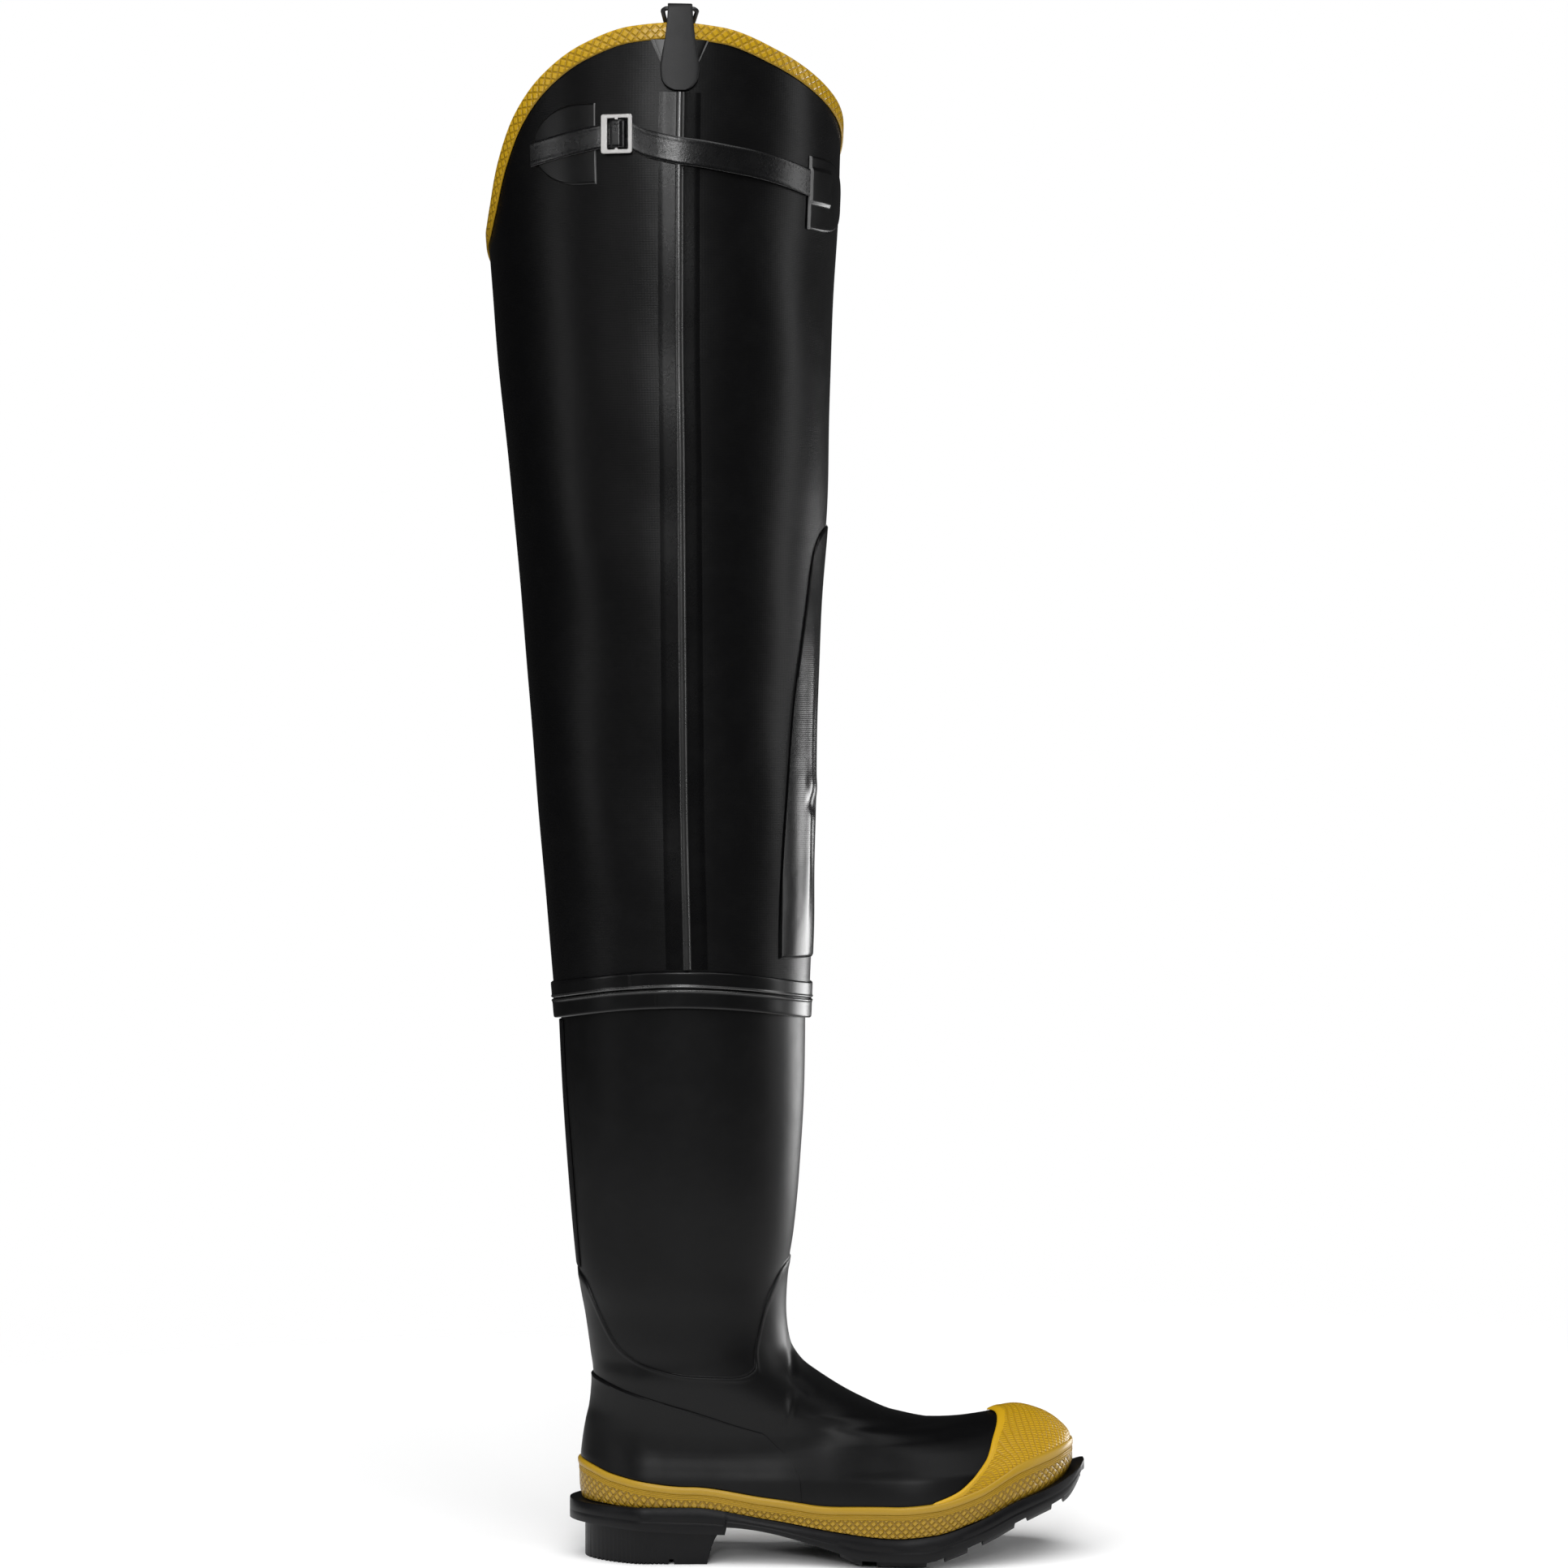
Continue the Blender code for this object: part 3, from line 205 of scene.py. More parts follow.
# Rings of the leg, ankle to knee
# columns: front x and back x as shares of the boot's top depth from LEG_AXIS, front and
# back height as shares of the rise from ankle to BOOT_TOP, half width share
LEG_RINGS: Table = (
    (0.477, -0.367, 0.000, 0.018, 0.350),
    (0.430, -0.376, 0.055, 0.062, 0.354),
    (0.417, -0.390, 0.128, 0.124, 0.362),
    (0.424, -0.413, 0.223, 0.206, 0.380),
    (0.450, -0.435, 0.345, 0.336, 0.405),
    (0.475, -0.456, 0.505, 0.496, 0.437),
    (0.493, -0.479, 0.715, 0.715, 0.470),
    (0.500, -0.500, 1.000, 1.000, 0.500),
)

# Lower edge of the leg panel, above which the foot step ends
# columns: angle from the back in degrees, ring number
PANEL_LINE: Table = (
    (0.0, 14.35), (22.0, 14.10), (34.0, 13.00), (48.0, 11.60), (64.0, 10.70), (84.0, 10.25),
    (104.0, 10.25), (122.0, 10.75), (134.0, 12.20), (146.0, 13.60), (162.0, 14.25), (180.0, 14.45),
)

# Rear border of the toe cap
# columns: angle from the back in degrees, ring number
CAP_LINE: Table = (
    (114.0, 0.90), (122.0, 1.40), (129.0, 2.40), (137.0, 3.50), (146.0, 4.40),
    (158.0, 5.10), (170.0, 5.55), (180.0, 5.85),
)

# Upper edge of the heel counter
# columns: angle from the back in degrees, ring number
COUNTER_LINE: Table = (
    (0.0, 9.60), (20.0, 9.40), (40.0, 8.90), (60.0, 8.20), (74.0, 7.30), (84.0, 6.20),
)

# Thigh shaft, knee to collar
# columns: height share of the shaft, flare share, lean share of COLLAR_SHIFT
SHAFT_STATIONS: Table = (
    (0.000, 0.000, 0.00), (0.047, 0.052, 0.06), (0.214, 0.209, 0.33), (0.382, 0.370, 0.52),
    (0.549, 0.582, 0.70), (0.717, 0.784, 0.92), (0.884, 0.948, 1.03), (1.000, 1.000, 1.00),
)

# Collar edge round the shaft
# columns: angle from the back in degrees, drop below COLLAR_TOP as share of COLLAR_DROP
COLLAR_LINE: Table = (
    (0.0, 0.850), (10.0, 0.815), (17.0, 0.745), (27.0, 0.560), (38.0, 0.365), (50.0, 0.215),
    (66.0, 0.085), (82.0, 0.015), (96.0, 0.000), (110.0, 0.015), (130.0, 0.095),
    (153.0, 0.205), (180.0, 0.335), (205.0, 0.480), (230.0, 0.640), (260.0, 0.825),
    (290.0, 0.955), (318.0, 1.000), (342.0, 0.935), (360.0, 0.850),
)

# Tread lugs of the forefoot: start and end as shares of SOLE_LENGTH
FORE_LUGS: Table = (
    (0.368, 0.410), (0.438, 0.532), (0.567, 0.611), (0.640, 0.702), (0.728, 0.776), (0.800, 0.838),
)

# Lowest line of the sole in front of the heel
# columns: x share of SOLE_LENGTH, height share of SEAT_HEIGHT
SPRING_LINE: Table = (
    (0.115, 0.540), (0.151, 0.535), (0.368, 0.125), (0.410, 0.000), (0.536, 0.000), (0.567, 0.085),
    (0.665, 0.430), (0.702, 0.590), (0.750, 0.760), (0.787, 0.880), (0.810, 0.990), (0.838, 1.300),
)

# Knee patch
# columns: share of the half angle, top edge as share of PATCH_HEIGHT
PATCH_LIFT = 0.016
PATCH_HEIGHT = 0.270
PATCH_HALF = 41.0
PATCH_LINE: Table = (
    (0.00, 0.985), (0.30, 0.965), (0.45, 0.93), (0.60, 0.80), (0.75, 0.64), (0.88, 0.44),
    (0.96, 0.22), (1.00, 0.06),
)

# Thigh strap, rear length: angle, drop below COLLAR_TOP, distance of its under face
REAR_STRAP: Table = (
    (46.6, 0.0735, 0.0016), (54.0, 0.0715, 0.0016), (62.0, 0.0690, 0.0016), (70.5, 0.0665, 0.0016),
    (73.0, 0.0658, 0.0010), (76.4, 0.0650, 0.0009),
)

# Thigh strap, front length, from the buckle's bar to the front anchor
FRONT_STRAP: Table = (
    (75.9, 0.0650, 0.0053), (76.8, 0.0650, 0.0060), (78.5, 0.0650, 0.0060), (79.6, 0.0650, 0.0048),
    (80.9, 0.0652, 0.0012), (82.7, 0.0670, 0.0006), (86.0, 0.0700, 0.0010), (91.0, 0.0727, 0.0022),
    (97.0, 0.0750, 0.0029), (103.0, 0.0763, 0.0025), (112.0, 0.0785, 0.0015), (121.0, 0.0805, 0.0009),
    (130.0, 0.0830, 0.0007), (138.0, 0.0855, 0.0006), (145.1, 0.0877, 0.0006),
)

# Belt strap: height share from its foot to the bar, width share
BELT_ANGLE = 96.7
BELT_FOOT = 0.0390
BELT_STAND = 0.0019
BELT_STRAP_LINE: Table = (
    (0.000, 0.30), (0.020, 0.52), (0.070, 0.78), (0.150, 0.95), (0.280, 1.00), (0.420, 0.93),
    (0.620, 0.78), (0.800, 0.69), (1.000, 0.63),
)
EYE_TURN = math.radians(262.0)

BOOT_DEPTH = KNEE_DEPTH - 2.0 * (SHAFT_WALL + GAP)
BOOT_WIDTH = KNEE_WIDTH - 2.0 * (SHAFT_WALL + GAP)
ANKLE_HEIGHT = SEAT_HEIGHT + INSTEP_RISE
LEG_RISE = BOOT_TOP - ANKLE_HEIGHT
SHAFT_BOTTOM = BOOT_TOP - LAP
SOLE_BACK = -HEEL_SETBACK
SOLE_FRONT = SOLE_LENGTH - HEEL_SETBACK
LOWER_BAND = (-0.0015, 0.0100)
UPPER_BAND = (0.0106, 0.0205)

# Heel block, its notch and its fine teeth
HEEL_BACK = SOLE_BACK + 0.0095
HEEL_FRONT = 0.0362
BREAST_RUN = 0.012
NOTCH = (0.0135, 0.0158)
NOTCH_DEPTH = 0.0030
TEETH_PITCH = 0.0026
TEETH_DEPTH = 0.0010
TEETH_START = HEEL_BACK + 0.004
TEETH_END = NOTCH[0] - 0.002

# Shader numbers: sockets of a colour mix, noise scales, and where specks and smears begin and end
COLOUR_MIX_INPUTS = (0, 6, 7)
COLOUR_MIX_OUTPUT = 2
SPECK_SCALE = 900.0
SPECK_RANGE = (0.66, 0.78)
SMEAR_SCALE = 60.0
SMEAR_RANGE = (0.45, 0.75)
SLOW_SCALE = 38.0
THREAD_BEND_SCALE = 260.0
KNURL_RISE = 0.40
DUST_ROUGHNESS = 0.25
DUST_GAIN = 1.5
DUST_LIFT = 0.004
# Colour multiplied into the relief's low parts: painted shade in the grooves
GROOVE_SHADE_COLOUR = (0.35, 0.28, 0.15)

# Floor, daylight and camera
FLOOR_RADIUS = 1.3
FLOOR_FADE = (0.35, FLOOR_RADIUS - 0.05)
FLOOR_COLOUR = (0.90, 0.90, 0.90, 1.0)
FLOOR_ROUGHNESS = 0.75
FLOOR_SPECULAR = 0.1
DAYLIGHT_ANGLE = math.radians(75.0)
DAYLIGHT_TURN = (math.radians(24.0), math.radians(-14.0), 0.0)
CAMERA_PLACE = (0.083, -2.330, 0.474)
CAMERA_LENS = 86.8
CAMERA_SENSOR = 36.0
CAMERA_CLIP = (0.05, 60.0)


class Side(Enum):
    """A side of the boot: the outer one faces -Y."""

    LATERAL = -1
    MEDIAL = 1


def smooth(x: Array | float, table: Table, column: int = 1) -> Array:
    """Read a table column through a cubic curve with limited slopes.

    Args:
        x: Where to read; held inside the table's range.
        table: Rows whose first number is the place.
        column: The column to read.

    Returns:
        The values at x.
    """
    rows = np.asarray(table, float)
    xs, ys = rows[:, 0], rows[:, column]
    x = np.clip(np.asarray(x, float), xs[0], xs[-1])
    step = np.diff(xs)
    slope = np.diff(ys) / step
    before, after = slope[:-1], slope[1:]
    same_way = before * after > 0.0
    safe_before = np.where(same_way, before, 1.0)
    safe_after = np.where(same_way, after, 1.0)
    weight = (2.0 * step[1:] + step[:-1]) / safe_before + (step[1:] + 2.0 * step[:-1]) / safe_after
    inner = np.where(same_way, 3.0 * (step[1:] + step[:-1]) / np.where(same_way, weight, 1.0), 0.0)
    tangent = np.concatenate(([slope[0]], inner, [slope[-1]]))
    k = np.clip(np.searchsorted(xs, x, side="right") - 1, 0, len(xs) - 2)
    h = step[k]
    s = (x - xs[k]) / h
    return ((2 * s ** 3 - 3 * s ** 2 + 1) * ys[k] + (s ** 3 - 2 * s ** 2 + s) * h * tangent[k]
            + (3 * s ** 2 - 2 * s ** 3) * ys[k + 1] + (s ** 3 - s ** 2) * h * tangent[k + 1])


def ease(x: Array | float, start: float, end: float) -> Array:
    """Rise from 0 at start to 1 at end along a smooth step."""
    s = np.clip((np.asarray(x, float) - start) / (end - start), 0.0, 1.0)
    return s * s * (3.0 - 2.0 * s)


def mirrored_angle(phi: Array) -> Array:
    """Angle from the back, 0 to 180 degrees, the same on both sides."""
    turned = np.mod(np.degrees(phi), 360.0)
    return np.minimum(turned, 360.0 - turned)


def seat_height(x: Array | float) -> Array:
    """Height of the outsole's upper face."""
    return SEAT_HEIGHT * smooth(np.asarray(x) / SOLE_LENGTH, SEAT_LINE)


def foxing_height(x: Array | float) -> Array:
    """Height of the foxing's upper edge."""
    return seat_height(x) + SEAT_HEIGHT * smooth(np.asarray(x) / SOLE_LENGTH, FOXING_LINE)


def toe_swing(x: Array | float) -> Array:
    """Inward swing of the foot's middle line towards the toe."""
    return TOE_SWING * ease(np.asarray(x) / SOLE_LENGTH, 0.47, 0.80)


def arch(phi: Array | float) -> Array:
    """Rise of the knee bands towards the sides."""
    return KNEE_ARCH * np.sin(phi) ** 2


def collar_height(phi: Array | float) -> Array:
    """Height of the shaft's cut edge."""
    return COLLAR_TOP - COLLAR_DROP * smooth(np.mod(np.degrees(phi), 360.0), COLLAR_LINE)


# Surfaces


class Surface:
    """A surface read at a first value, upwards, and at an angle from the back."""

    def points(self, first: Array, phi: Array) -> Array:
        """Points on the surface."""
        raise NotImplementedError

    def outward(self, first: Array | float, phi: Array | float, out: Array | float) -> Array:
        """Points moved out along the normal.

        Args:
            first: Ring number or height.
            phi: Angle from the back in radians.
            out: Distance outwards in metres.

        Returns:
            An array of the broadcast shape with a last axis of three.
        """
        small = 1e-4
        first, phi, out = np.broadcast_arrays(np.asarray(first, float), np.asarray(phi, float),
                                              np.asarray(out, float))
        rise = self.points(first + small, phi) - self.points(first - small, phi)
        turn = self.points(first, phi + small) - self.points(first, phi - small)
        normal = np.cross(turn, rise)
        normal = normal / np.maximum(np.linalg.norm(normal, axis=-1, keepdims=True), 1e-12)
        return self.points(first, phi) + normal * out[..., None]


def ring_table() -> Array:
    """Both ring tables as lengths, numbered upwards.

    Returns:
        One row for each ring, its number first.
    """
    first_leg = LEG_RINGS[0][4] * BOOT_WIDTH
    rows = [(fx * SOLE_LENGTH, bx * SOLE_LENGTH, SEAT_HEIGHT + fz * INSTEP_RISE,
             SEAT_HEIGHT + bz * INSTEP_RISE, sag * INSTEP_RISE, share, narrow, leg, first_leg)
            for fx, bx, fz, bz, sag, share, narrow, leg in FOOT_RINGS]
    rows += [(LEG_AXIS + fx * BOOT_DEPTH, LEG_AXIS + bx * BOOT_DEPTH, ANKLE_HEIGHT + fz * LEG_RISE,
              ANKLE_HEIGHT + bz * LEG_RISE, 0.0, 1.0, 0.0, 1.0, half * BOOT_WIDTH)
             for fx, bx, fz, bz, half in LEG_RINGS]
    return np.array([(number,) + row for number, row in enumerate(rows)])


RINGS = ring_table()
LAST_RING = float(len(RINGS) - 1)


class BootSurface(Surface):
    """Outer surface of the foot and the lower leg: ring number, angle from the back."""

    def points(self, first: Array, phi: Array) -> Array:
        """Points through the tilted rings, from the sole's edge to the knee.

        Args:
            first: Ring number.
            phi: Angle from the back in radians.

        Returns:
            Points, last axis of three.
        """
        ring, phi = np.broadcast_arrays(np.asarray(first, float), np.asarray(phi, float))
        front_x, back_x, front_z, back_z, sag, share, narrow, leg, leg_half = (
            smooth(ring, RINGS, column) for column in range(1, 10))
        along = 0.5 * (1.0 - np.cos(phi))
        x = back_x + (front_x - back_x) * along
        dip = (1.0 - np.exp(-(1.0 - along) / 0.06)) * (1.0 - (1.0 - along) ** 3)
        z = back_z + (front_z - back_z) * along - sag * dip
        z = z + (seat_height(x) + GAP - SEAT_HEIGHT) * (1.0 - np.clip(ring, 0.0, 1.0))
        place = x / SOLE_LENGTH
        outline = BALL_WIDTH * np.where(np.sin(phi) > 0.0, smooth(place, FOOT_WIDTHS, 1),
                                        smooth(place, FOOT_WIDTHS, 2))
        foot = outline * share * (1.0 - narrow * along ** 4)
        half = foot + (leg_half - foot) * leg
        return np.stack([x, -half * np.sin(phi) + toe_swing(x) * (1.0 - leg), z], axis=-1)

    def ring_at(self, height: Callable[[Array], Array], phi: Array, start: float, end: float) -> Array:
        """Ring numbers where the surface crosses a height.

        Args:
            height: Function of x that gives the height.
            phi: Angles from the back.
            start: Lowest ring number to look at.
            end: Highest ring number to look at.

        Returns:
            One ring number for each angle.
        """
        rings = np.linspace(start, end, 480)
        points = self.points(rings[:, None], np.atleast_1d(phi)[None, :])
        over = points[..., 2] - height(points[..., 0])
        k = np.maximum(np.argmax(over > 0.0, axis=0), 1)
        column = np.arange(over.shape[1])
        low, high = over[k - 1, column], over[k, column]
        return rings[k - 1] + (rings[k] - rings[k - 1]) * np.clip(-low / (high - low), 0.0, 1.0)

    def below(self, top: Array, phi: Array, distances: Array) -> Array:
        """Ring numbers at arc distances below an edge, one row for each distance.

        Args:
            top: Ring number of the edge at each angle.
            phi: Angles from the back.
            distances: Arc lengths in metres.

        Returns:
            Ring numbers by distance and angle.
        """
        shares = np.linspace(1.0, 0.0, 64)[:, None] * top
        points = self.points(shares, phi)
        run = np.concatenate([np.zeros((1, len(phi))),
                              np.cumsum(np.linalg.norm(np.diff(points, axis=0), axis=-1), axis=0)])
        found = np.empty((len(distances), len(phi)))
        for column in range(len(phi)):
            found[:, column] = np.interp(distances, run[:, column], shares[:, column])
        return found

    def depth_below(self, top: Array, phi: Array) -> Array:
        """Arc length from an edge down to ring 0 at each angle."""
        points = self.points(np.linspace(1.0, 0.0, 64)[:, None] * top, phi)
        return np.linalg.norm(np.diff(points, axis=0), axis=-1).sum(axis=0)


class ShaftSurface(Surface):
    """Outer surface of the thigh shaft: height, angle from the back."""

    def points(self, first: Array, phi: Array) -> Array:
        """Points of the flared oval shaft.

        Args:
            first: Height in metres.
            phi: Angle from the back in radians.

        Returns:
            Points, last axis of three.
        """
        height, phi = np.broadcast_arrays(np.asarray(first, float), np.asarray(phi, float))
        share = (height - SHAFT_BOTTOM) / (COLLAR_TOP - SHAFT_BOTTOM)
        flare = smooth(share, SHAFT_STATIONS, 1)
        lean = smooth(share, SHAFT_STATIONS, 2)
        half_depth = 0.5 * (KNEE_DEPTH + (COLLAR_DEPTH - KNEE_DEPTH) * flare)
        half_width = 0.5 * (KNEE_WIDTH + (COLLAR_WIDTH - KNEE_WIDTH) * flare)
        x = LEG_AXIS - COLLAR_SHIFT * lean - half_depth * np.cos(phi)
        return np.stack([x, -half_width * np.sin(phi), height], axis=-1)

    def half_depth(self, height: float) -> float:
        """Half depth along X at a height."""
        return float(0.5 * (self.points(height, math.pi)[0] - self.points(height, 0.0)[0]))

    def beside_rim(self, phi: Array, width: float) -> tuple[Array, Array]:
        """Points a distance below the collar's edge, square to it.

        The edge's slope is its rise over the run along the shaft. A point moves down by
        the width times the cosine of that slope, and along by its sine.

        Args:
            phi: Angle from the back in radians.
            width: Distance from the edge in metres.

        Returns:
            Height and angle of the points.
        """
        small = 1e-3
        rim = collar_height(phi)
        rise = (collar_height(phi + small) - collar_height(phi - small)) / (2.0 * small)
        turn = self.points(rim, phi + small) - self.points(rim, phi - small)
        run = np.linalg.norm(turn, axis=-1) / (2.0 * small)
        length = np.hypot(rise, run)
        return rim - width * run / length, phi + width * rise / length / run


BOOT = BootSurface()
SHAFT = ShaftSurface()


def run_along(points: Array) -> Array:
    """Arc length from a line's first point to each of its points."""
    return np.concatenate([[0.0], np.cumsum(np.linalg.norm(np.diff(points, axis=0), axis=-1))])


def fitted_run(line: Array, pitch: float) -> Array:
    """Arc length round a closed line, stretched so that whole pitches fit into it.

    Args:
        line: Points of the line.
        pitch: Spacing in metres.

    Returns:
        One length for each point.
    """
    run = run_along(line)
    closing = run[-1] + float(np.linalg.norm(line[0] - line[-1]))
    return run * (round(closing / pitch) * pitch / closing)


def rounded(edge: Array, least: float) -> Array:
    """Share of a sheet's thickness near its rim, along a quarter circle.

    Args:
        edge: Distance from the rim, 1 where the sheet is full.
        least: Share at the rim.

    Returns:
        Shares from least to 1.
    """
    return least + (1.0 - least) * np.sqrt(1.0 - (1.0 - edge) ** 2)


def crowned(share: Array, power: int, least: float = 0.0) -> Array:
    """Share of a strip's thickness across it.

    Args:
        share: Place across the strip, 0 at its middle and 1 or -1 at its edges.
        power: Even number; a high one makes square shoulders.
        least: Share at the edges.

    Returns:
        Shares from 1 at the middle to least at the edges.
    """
    return least + (1.0 - least) * np.sqrt(np.clip(1.0 - share ** power, 0.0, 1.0))


def placed(axes: tuple[Array, Array, Array], origin: Array) -> Matrix:
    """A matrix from its three axes and its origin.

    Args:
        axes: Directions of X, Y and Z.
        origin: Place of the origin.

    Returns:
        The matrix.
    """
    matrix = Matrix([(*map(float, row), 0.0) for row in np.stack(axes, axis=1)] + [(0, 0, 0, 1)])
    matrix.translation = origin
    return matrix


def linked(name: str, data: bpy.types.ID) -> bpy.types.Object:
    """A new object in the scene that holds the data.

    Args:
        name: Its name.
        data: Mesh, curve, light or camera.

    Returns:
        The object.
    """
    made = bpy.data.objects.new(name, data)
    bpy.context.scene.collection.objects.link(made)
    return made


def panel_ring(phi: Array) -> Array:
    """Ring number of the leg panel's lower edge."""
    return smooth(mirrored_angle(phi), PANEL_LINE)


def knee_band_height(phi: Array | float, rise: float) -> Array:
    """Height of a knee band's edge round the leg."""
    return SHAFT_BOTTOM + rise + arch(phi)


# Creases


@dataclass(frozen=True)
class Fold:
    """A soft ridge or crease along a line on a surface.

    Attributes:
        start: First value and angle in degrees of its start.
        end: First value and angle in degrees of its end.
        width: Half width in first units.
        out: Height in metres, negative for a crease.
        bend: Sideways bow of the line at its middle, in first units.
    """

    start: tuple[float, float]
    end: tuple[float, float]
    width: float
    out: float
    bend: float = 0.0

    def height(self, first: Array, phi: Array) -> Array:
        """Displacement at points of the surface.

        Args:
            first: Ring number or height of the points.
            phi: Angle from the back in radians.

        Returns:
            Metres outwards.
        """
        degrees = np.mod(np.degrees(phi), 360.0)
        (f0, a0), (f1, a1) = self.start, self.end
        level = abs(a1 - a0) > 1e-6
        along = (degrees - a0) / (a1 - a0) if level else (first - f0) / (f1 - f0)
        across = (first - (f0 + (f1 - f0) * along + self.bend * 4.0 * along * (1.0 - along)) if level
                  else degrees - a0 - self.bend * 4.0 * along * (1.0 - along))
        fade = ease(along, -0.12, 0.22) * (1.0 - ease(along, 0.78, 1.12))
        return self.out * fade * np.exp(-(across / self.width) ** 2)


@dataclass(frozen=True)
class Crease:
    """A short ridge or crease drawn on the outer side, placed in side view.

    Attributes:
        start: Its start, forwards and upwards in metres.
        end: Its end.
        width: Half width in metres.
        out: Height in metres, negative for a crease.
        bow: Sideways bow at its middle in metres.
    """

    start: tuple[float, float]
    end: tuple[float, float]
    width: float
    out: float
    bow: float = 0.0

    def height(self, points: Array) -> Array:
        """Displacement at points of the surface.

        Args:
            points: Points, last axis of three.

        Returns:
            Metres outwards.
        """
        start, end = np.array(self.start), np.array(self.end)
        run = end - start
        length = np.linalg.norm(run)
        off = points[..., (0, 2)] - start
        along = (off @ run) / length ** 2
        beside = (off @ np.array((-run[1], run[0]))) / length
        beside = beside - self.bow * 4.0 * along * (1.0 - along)
        fade = ease(along, -0.05, 0.25) * (1.0 - ease(along, 0.75, 1.05))
        outer_side = 1.0 - ease(points[..., 1] - toe_swing(points[..., 0]), -0.012, 0.0)
        return self.out * fade * outer_side * np.exp(-(beside / self.width) ** 2)


def folded(folds: tuple[Fold, ...], first: Array, phi: Array) -> Array:
    """Sum of all folds at the points.

    Args:
        folds: The folds.
        first: Ring number or height.
        phi: Angle from the back in radians.

    Returns:
        Metres outwards.
    """
    first, phi = np.broadcast_arrays(np.asarray(first, float), np.asarray(phi, float))
    total = np.zeros(first.shape)
    for fold in folds:
        total = total + fold.height(first, phi)
    return total


def swell(first: Array, phi: Array, waves: tuple[tuple[float, float, float, float], ...]) -> Array:
    """Sum of slow waves: count round the leg, waves per first unit, phase, metres.

    Args:
        first: Ring number or height.
        phi: Angle from the back in radians.
        waves: Rows of those four numbers.

    Returns:
        Metres outwards.
    """
    total = 0.0
    for around, along, phase, size in waves:
        total = total + size * np.sin(around * phi + 2.0 * math.pi * along * first + phase)
    return total


# Meshes


def grid_faces(rows: int, columns: int, wrap: bool, offset: int = 0) -> Array:
    """Four-sided faces of a grid, joined round its columns if it wraps.

    Args:
        rows: Rows of points.
        columns: Columns of points.
        wrap: True where the last column joins the first.
        offset: Number of the grid's first point.

    Returns:
        Rows of four point numbers.
    """
    r = np.arange(rows - 1)[:, None] * columns
    c = np.arange(columns if wrap else columns - 1)[None, :]
    after = (c + 1) % columns
    faces = np.stack([r + c, r + after, r + columns + after, r + columns + c], axis=-1)
    return faces.reshape(-1, 4) + offset


@dataclass
class MeshParts:
    """Points, map places and faces gathered for one mesh."""

    points: list[Array] = field(default_factory=list)
    places: list[Array] = field(default_factory=list)
    faces: list[tuple[int, ...]] = field(default_factory=list)
    slots: list[int] = field(default_factory=list)
    count: int = 0

    def add(self, points: Array, places: Array, faces: list | Array, slot: int = 0) -> int:
        """Add points with their map places and the faces between them.

        Args:
            points: Points, last axis of three.
            places: Map places in millimetres, last axis of two.
            faces: Rows of point numbers, counted from this group's first point.
            slot: Material slot of the faces.

        Returns:
            Number of the group's first point.
        """
        first = self.count
        flat = np.asarray(points, float).reshape(-1, 3)
        self.points.append(flat)
        self.places.append(np.broadcast_to(places, np.shape(points)[:-1] + (2,)).reshape(-1, 2))
        if isinstance(faces, np.ndarray):
            self.faces += (faces + first).tolist()
        else:
            self.faces += [tuple(int(corner) + first for corner in face) for face in faces]
        self.slots += [slot] * len(faces)
        self.count += len(flat)
        return first

    def mark_columns(self, columns: int, chosen: set[int], slot: int = 1) -> None:
        """Give the faces that start in some columns of a grid another slot.

        Args:
            columns: Columns of the grid.
            chosen: Numbers of the columns.
            slot: The faces' new slot.
        """
        self.slots = [slot if face[0] % columns in chosen else old
                      for face, old in zip(self.faces, self.slots)]

    def mesh(self, name: str) -> bpy.types.Mesh:
        """The finished mesh, with doubled points merged and faces turned outwards.

        Args:
            name: Its name.

        Returns:
            The mesh.
        """
        points = np.concatenate(self.points)
        places = np.concatenate(self.places)
        made = bpy.data.meshes.new(name)
        made.from_pydata(points.tolist(), [], self.faces)
        corners = np.empty(len(made.loops), dtype=np.int32)
        made.loops.foreach_get("vertex_index", corners)
        layer = made.uv_layers.new(name="Millimetres")
        layer.data.foreach_set("uv", places[corners].ravel().astype(np.float32))
        made.polygons.foreach_set("material_index", np.array(self.slots, dtype=np.int32))
        work = bmesh.new()
        work.from_mesh(made)
        bmesh.ops.remove_doubles(work, verts=work.verts, dist=MERGE_DISTANCE)
        bmesh.ops.recalc_face_normals(work, faces=work.faces)
        for edge in work.edges:
            if len(edge.link_faces) == 2 and edge.calc_face_angle(0.0) > SHARP_ANGLE:
                edge.smooth = False
        for face in work.faces:
            face.smooth = True
        work.to_mesh(made)
        work.free()
        made.update()
        return made


def wrapped_places(across: Array, up: Array) -> Array:
    """Map places of a grid from its two lengths in metres."""
    across, up = np.broadcast_arrays(across, up)
    return np.stack([across, up], axis=-1) / MM


@dataclass(frozen=True)
class Piece:
    """What a finished piece stands for.

    Attributes:
        node: Name of the solid it replaces.
        slot: Material slot of the record; not used.
        body: Body it rides on.
    """

    node: str
    slot: str
    body: str = "boot"

    def place(self, mesh: bpy.types.Mesh, *finishes: bpy.types.Material) -> bpy.types.Object:
        """Link a mesh as this piece, unturned at the origin.

        Args:
            mesh: The piece's mesh.
            *finishes: One material for each slot of the mesh.

        Returns:
            The linked object.
        """
        made = linked("look_" + self.node, mesh)
        for finish in finishes:
            mesh.materials.append(finish)
        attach(made, self.body)
        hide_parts(self.node)
        log.info("%s: %d faces", self.node, len(mesh.polygons))
        return made


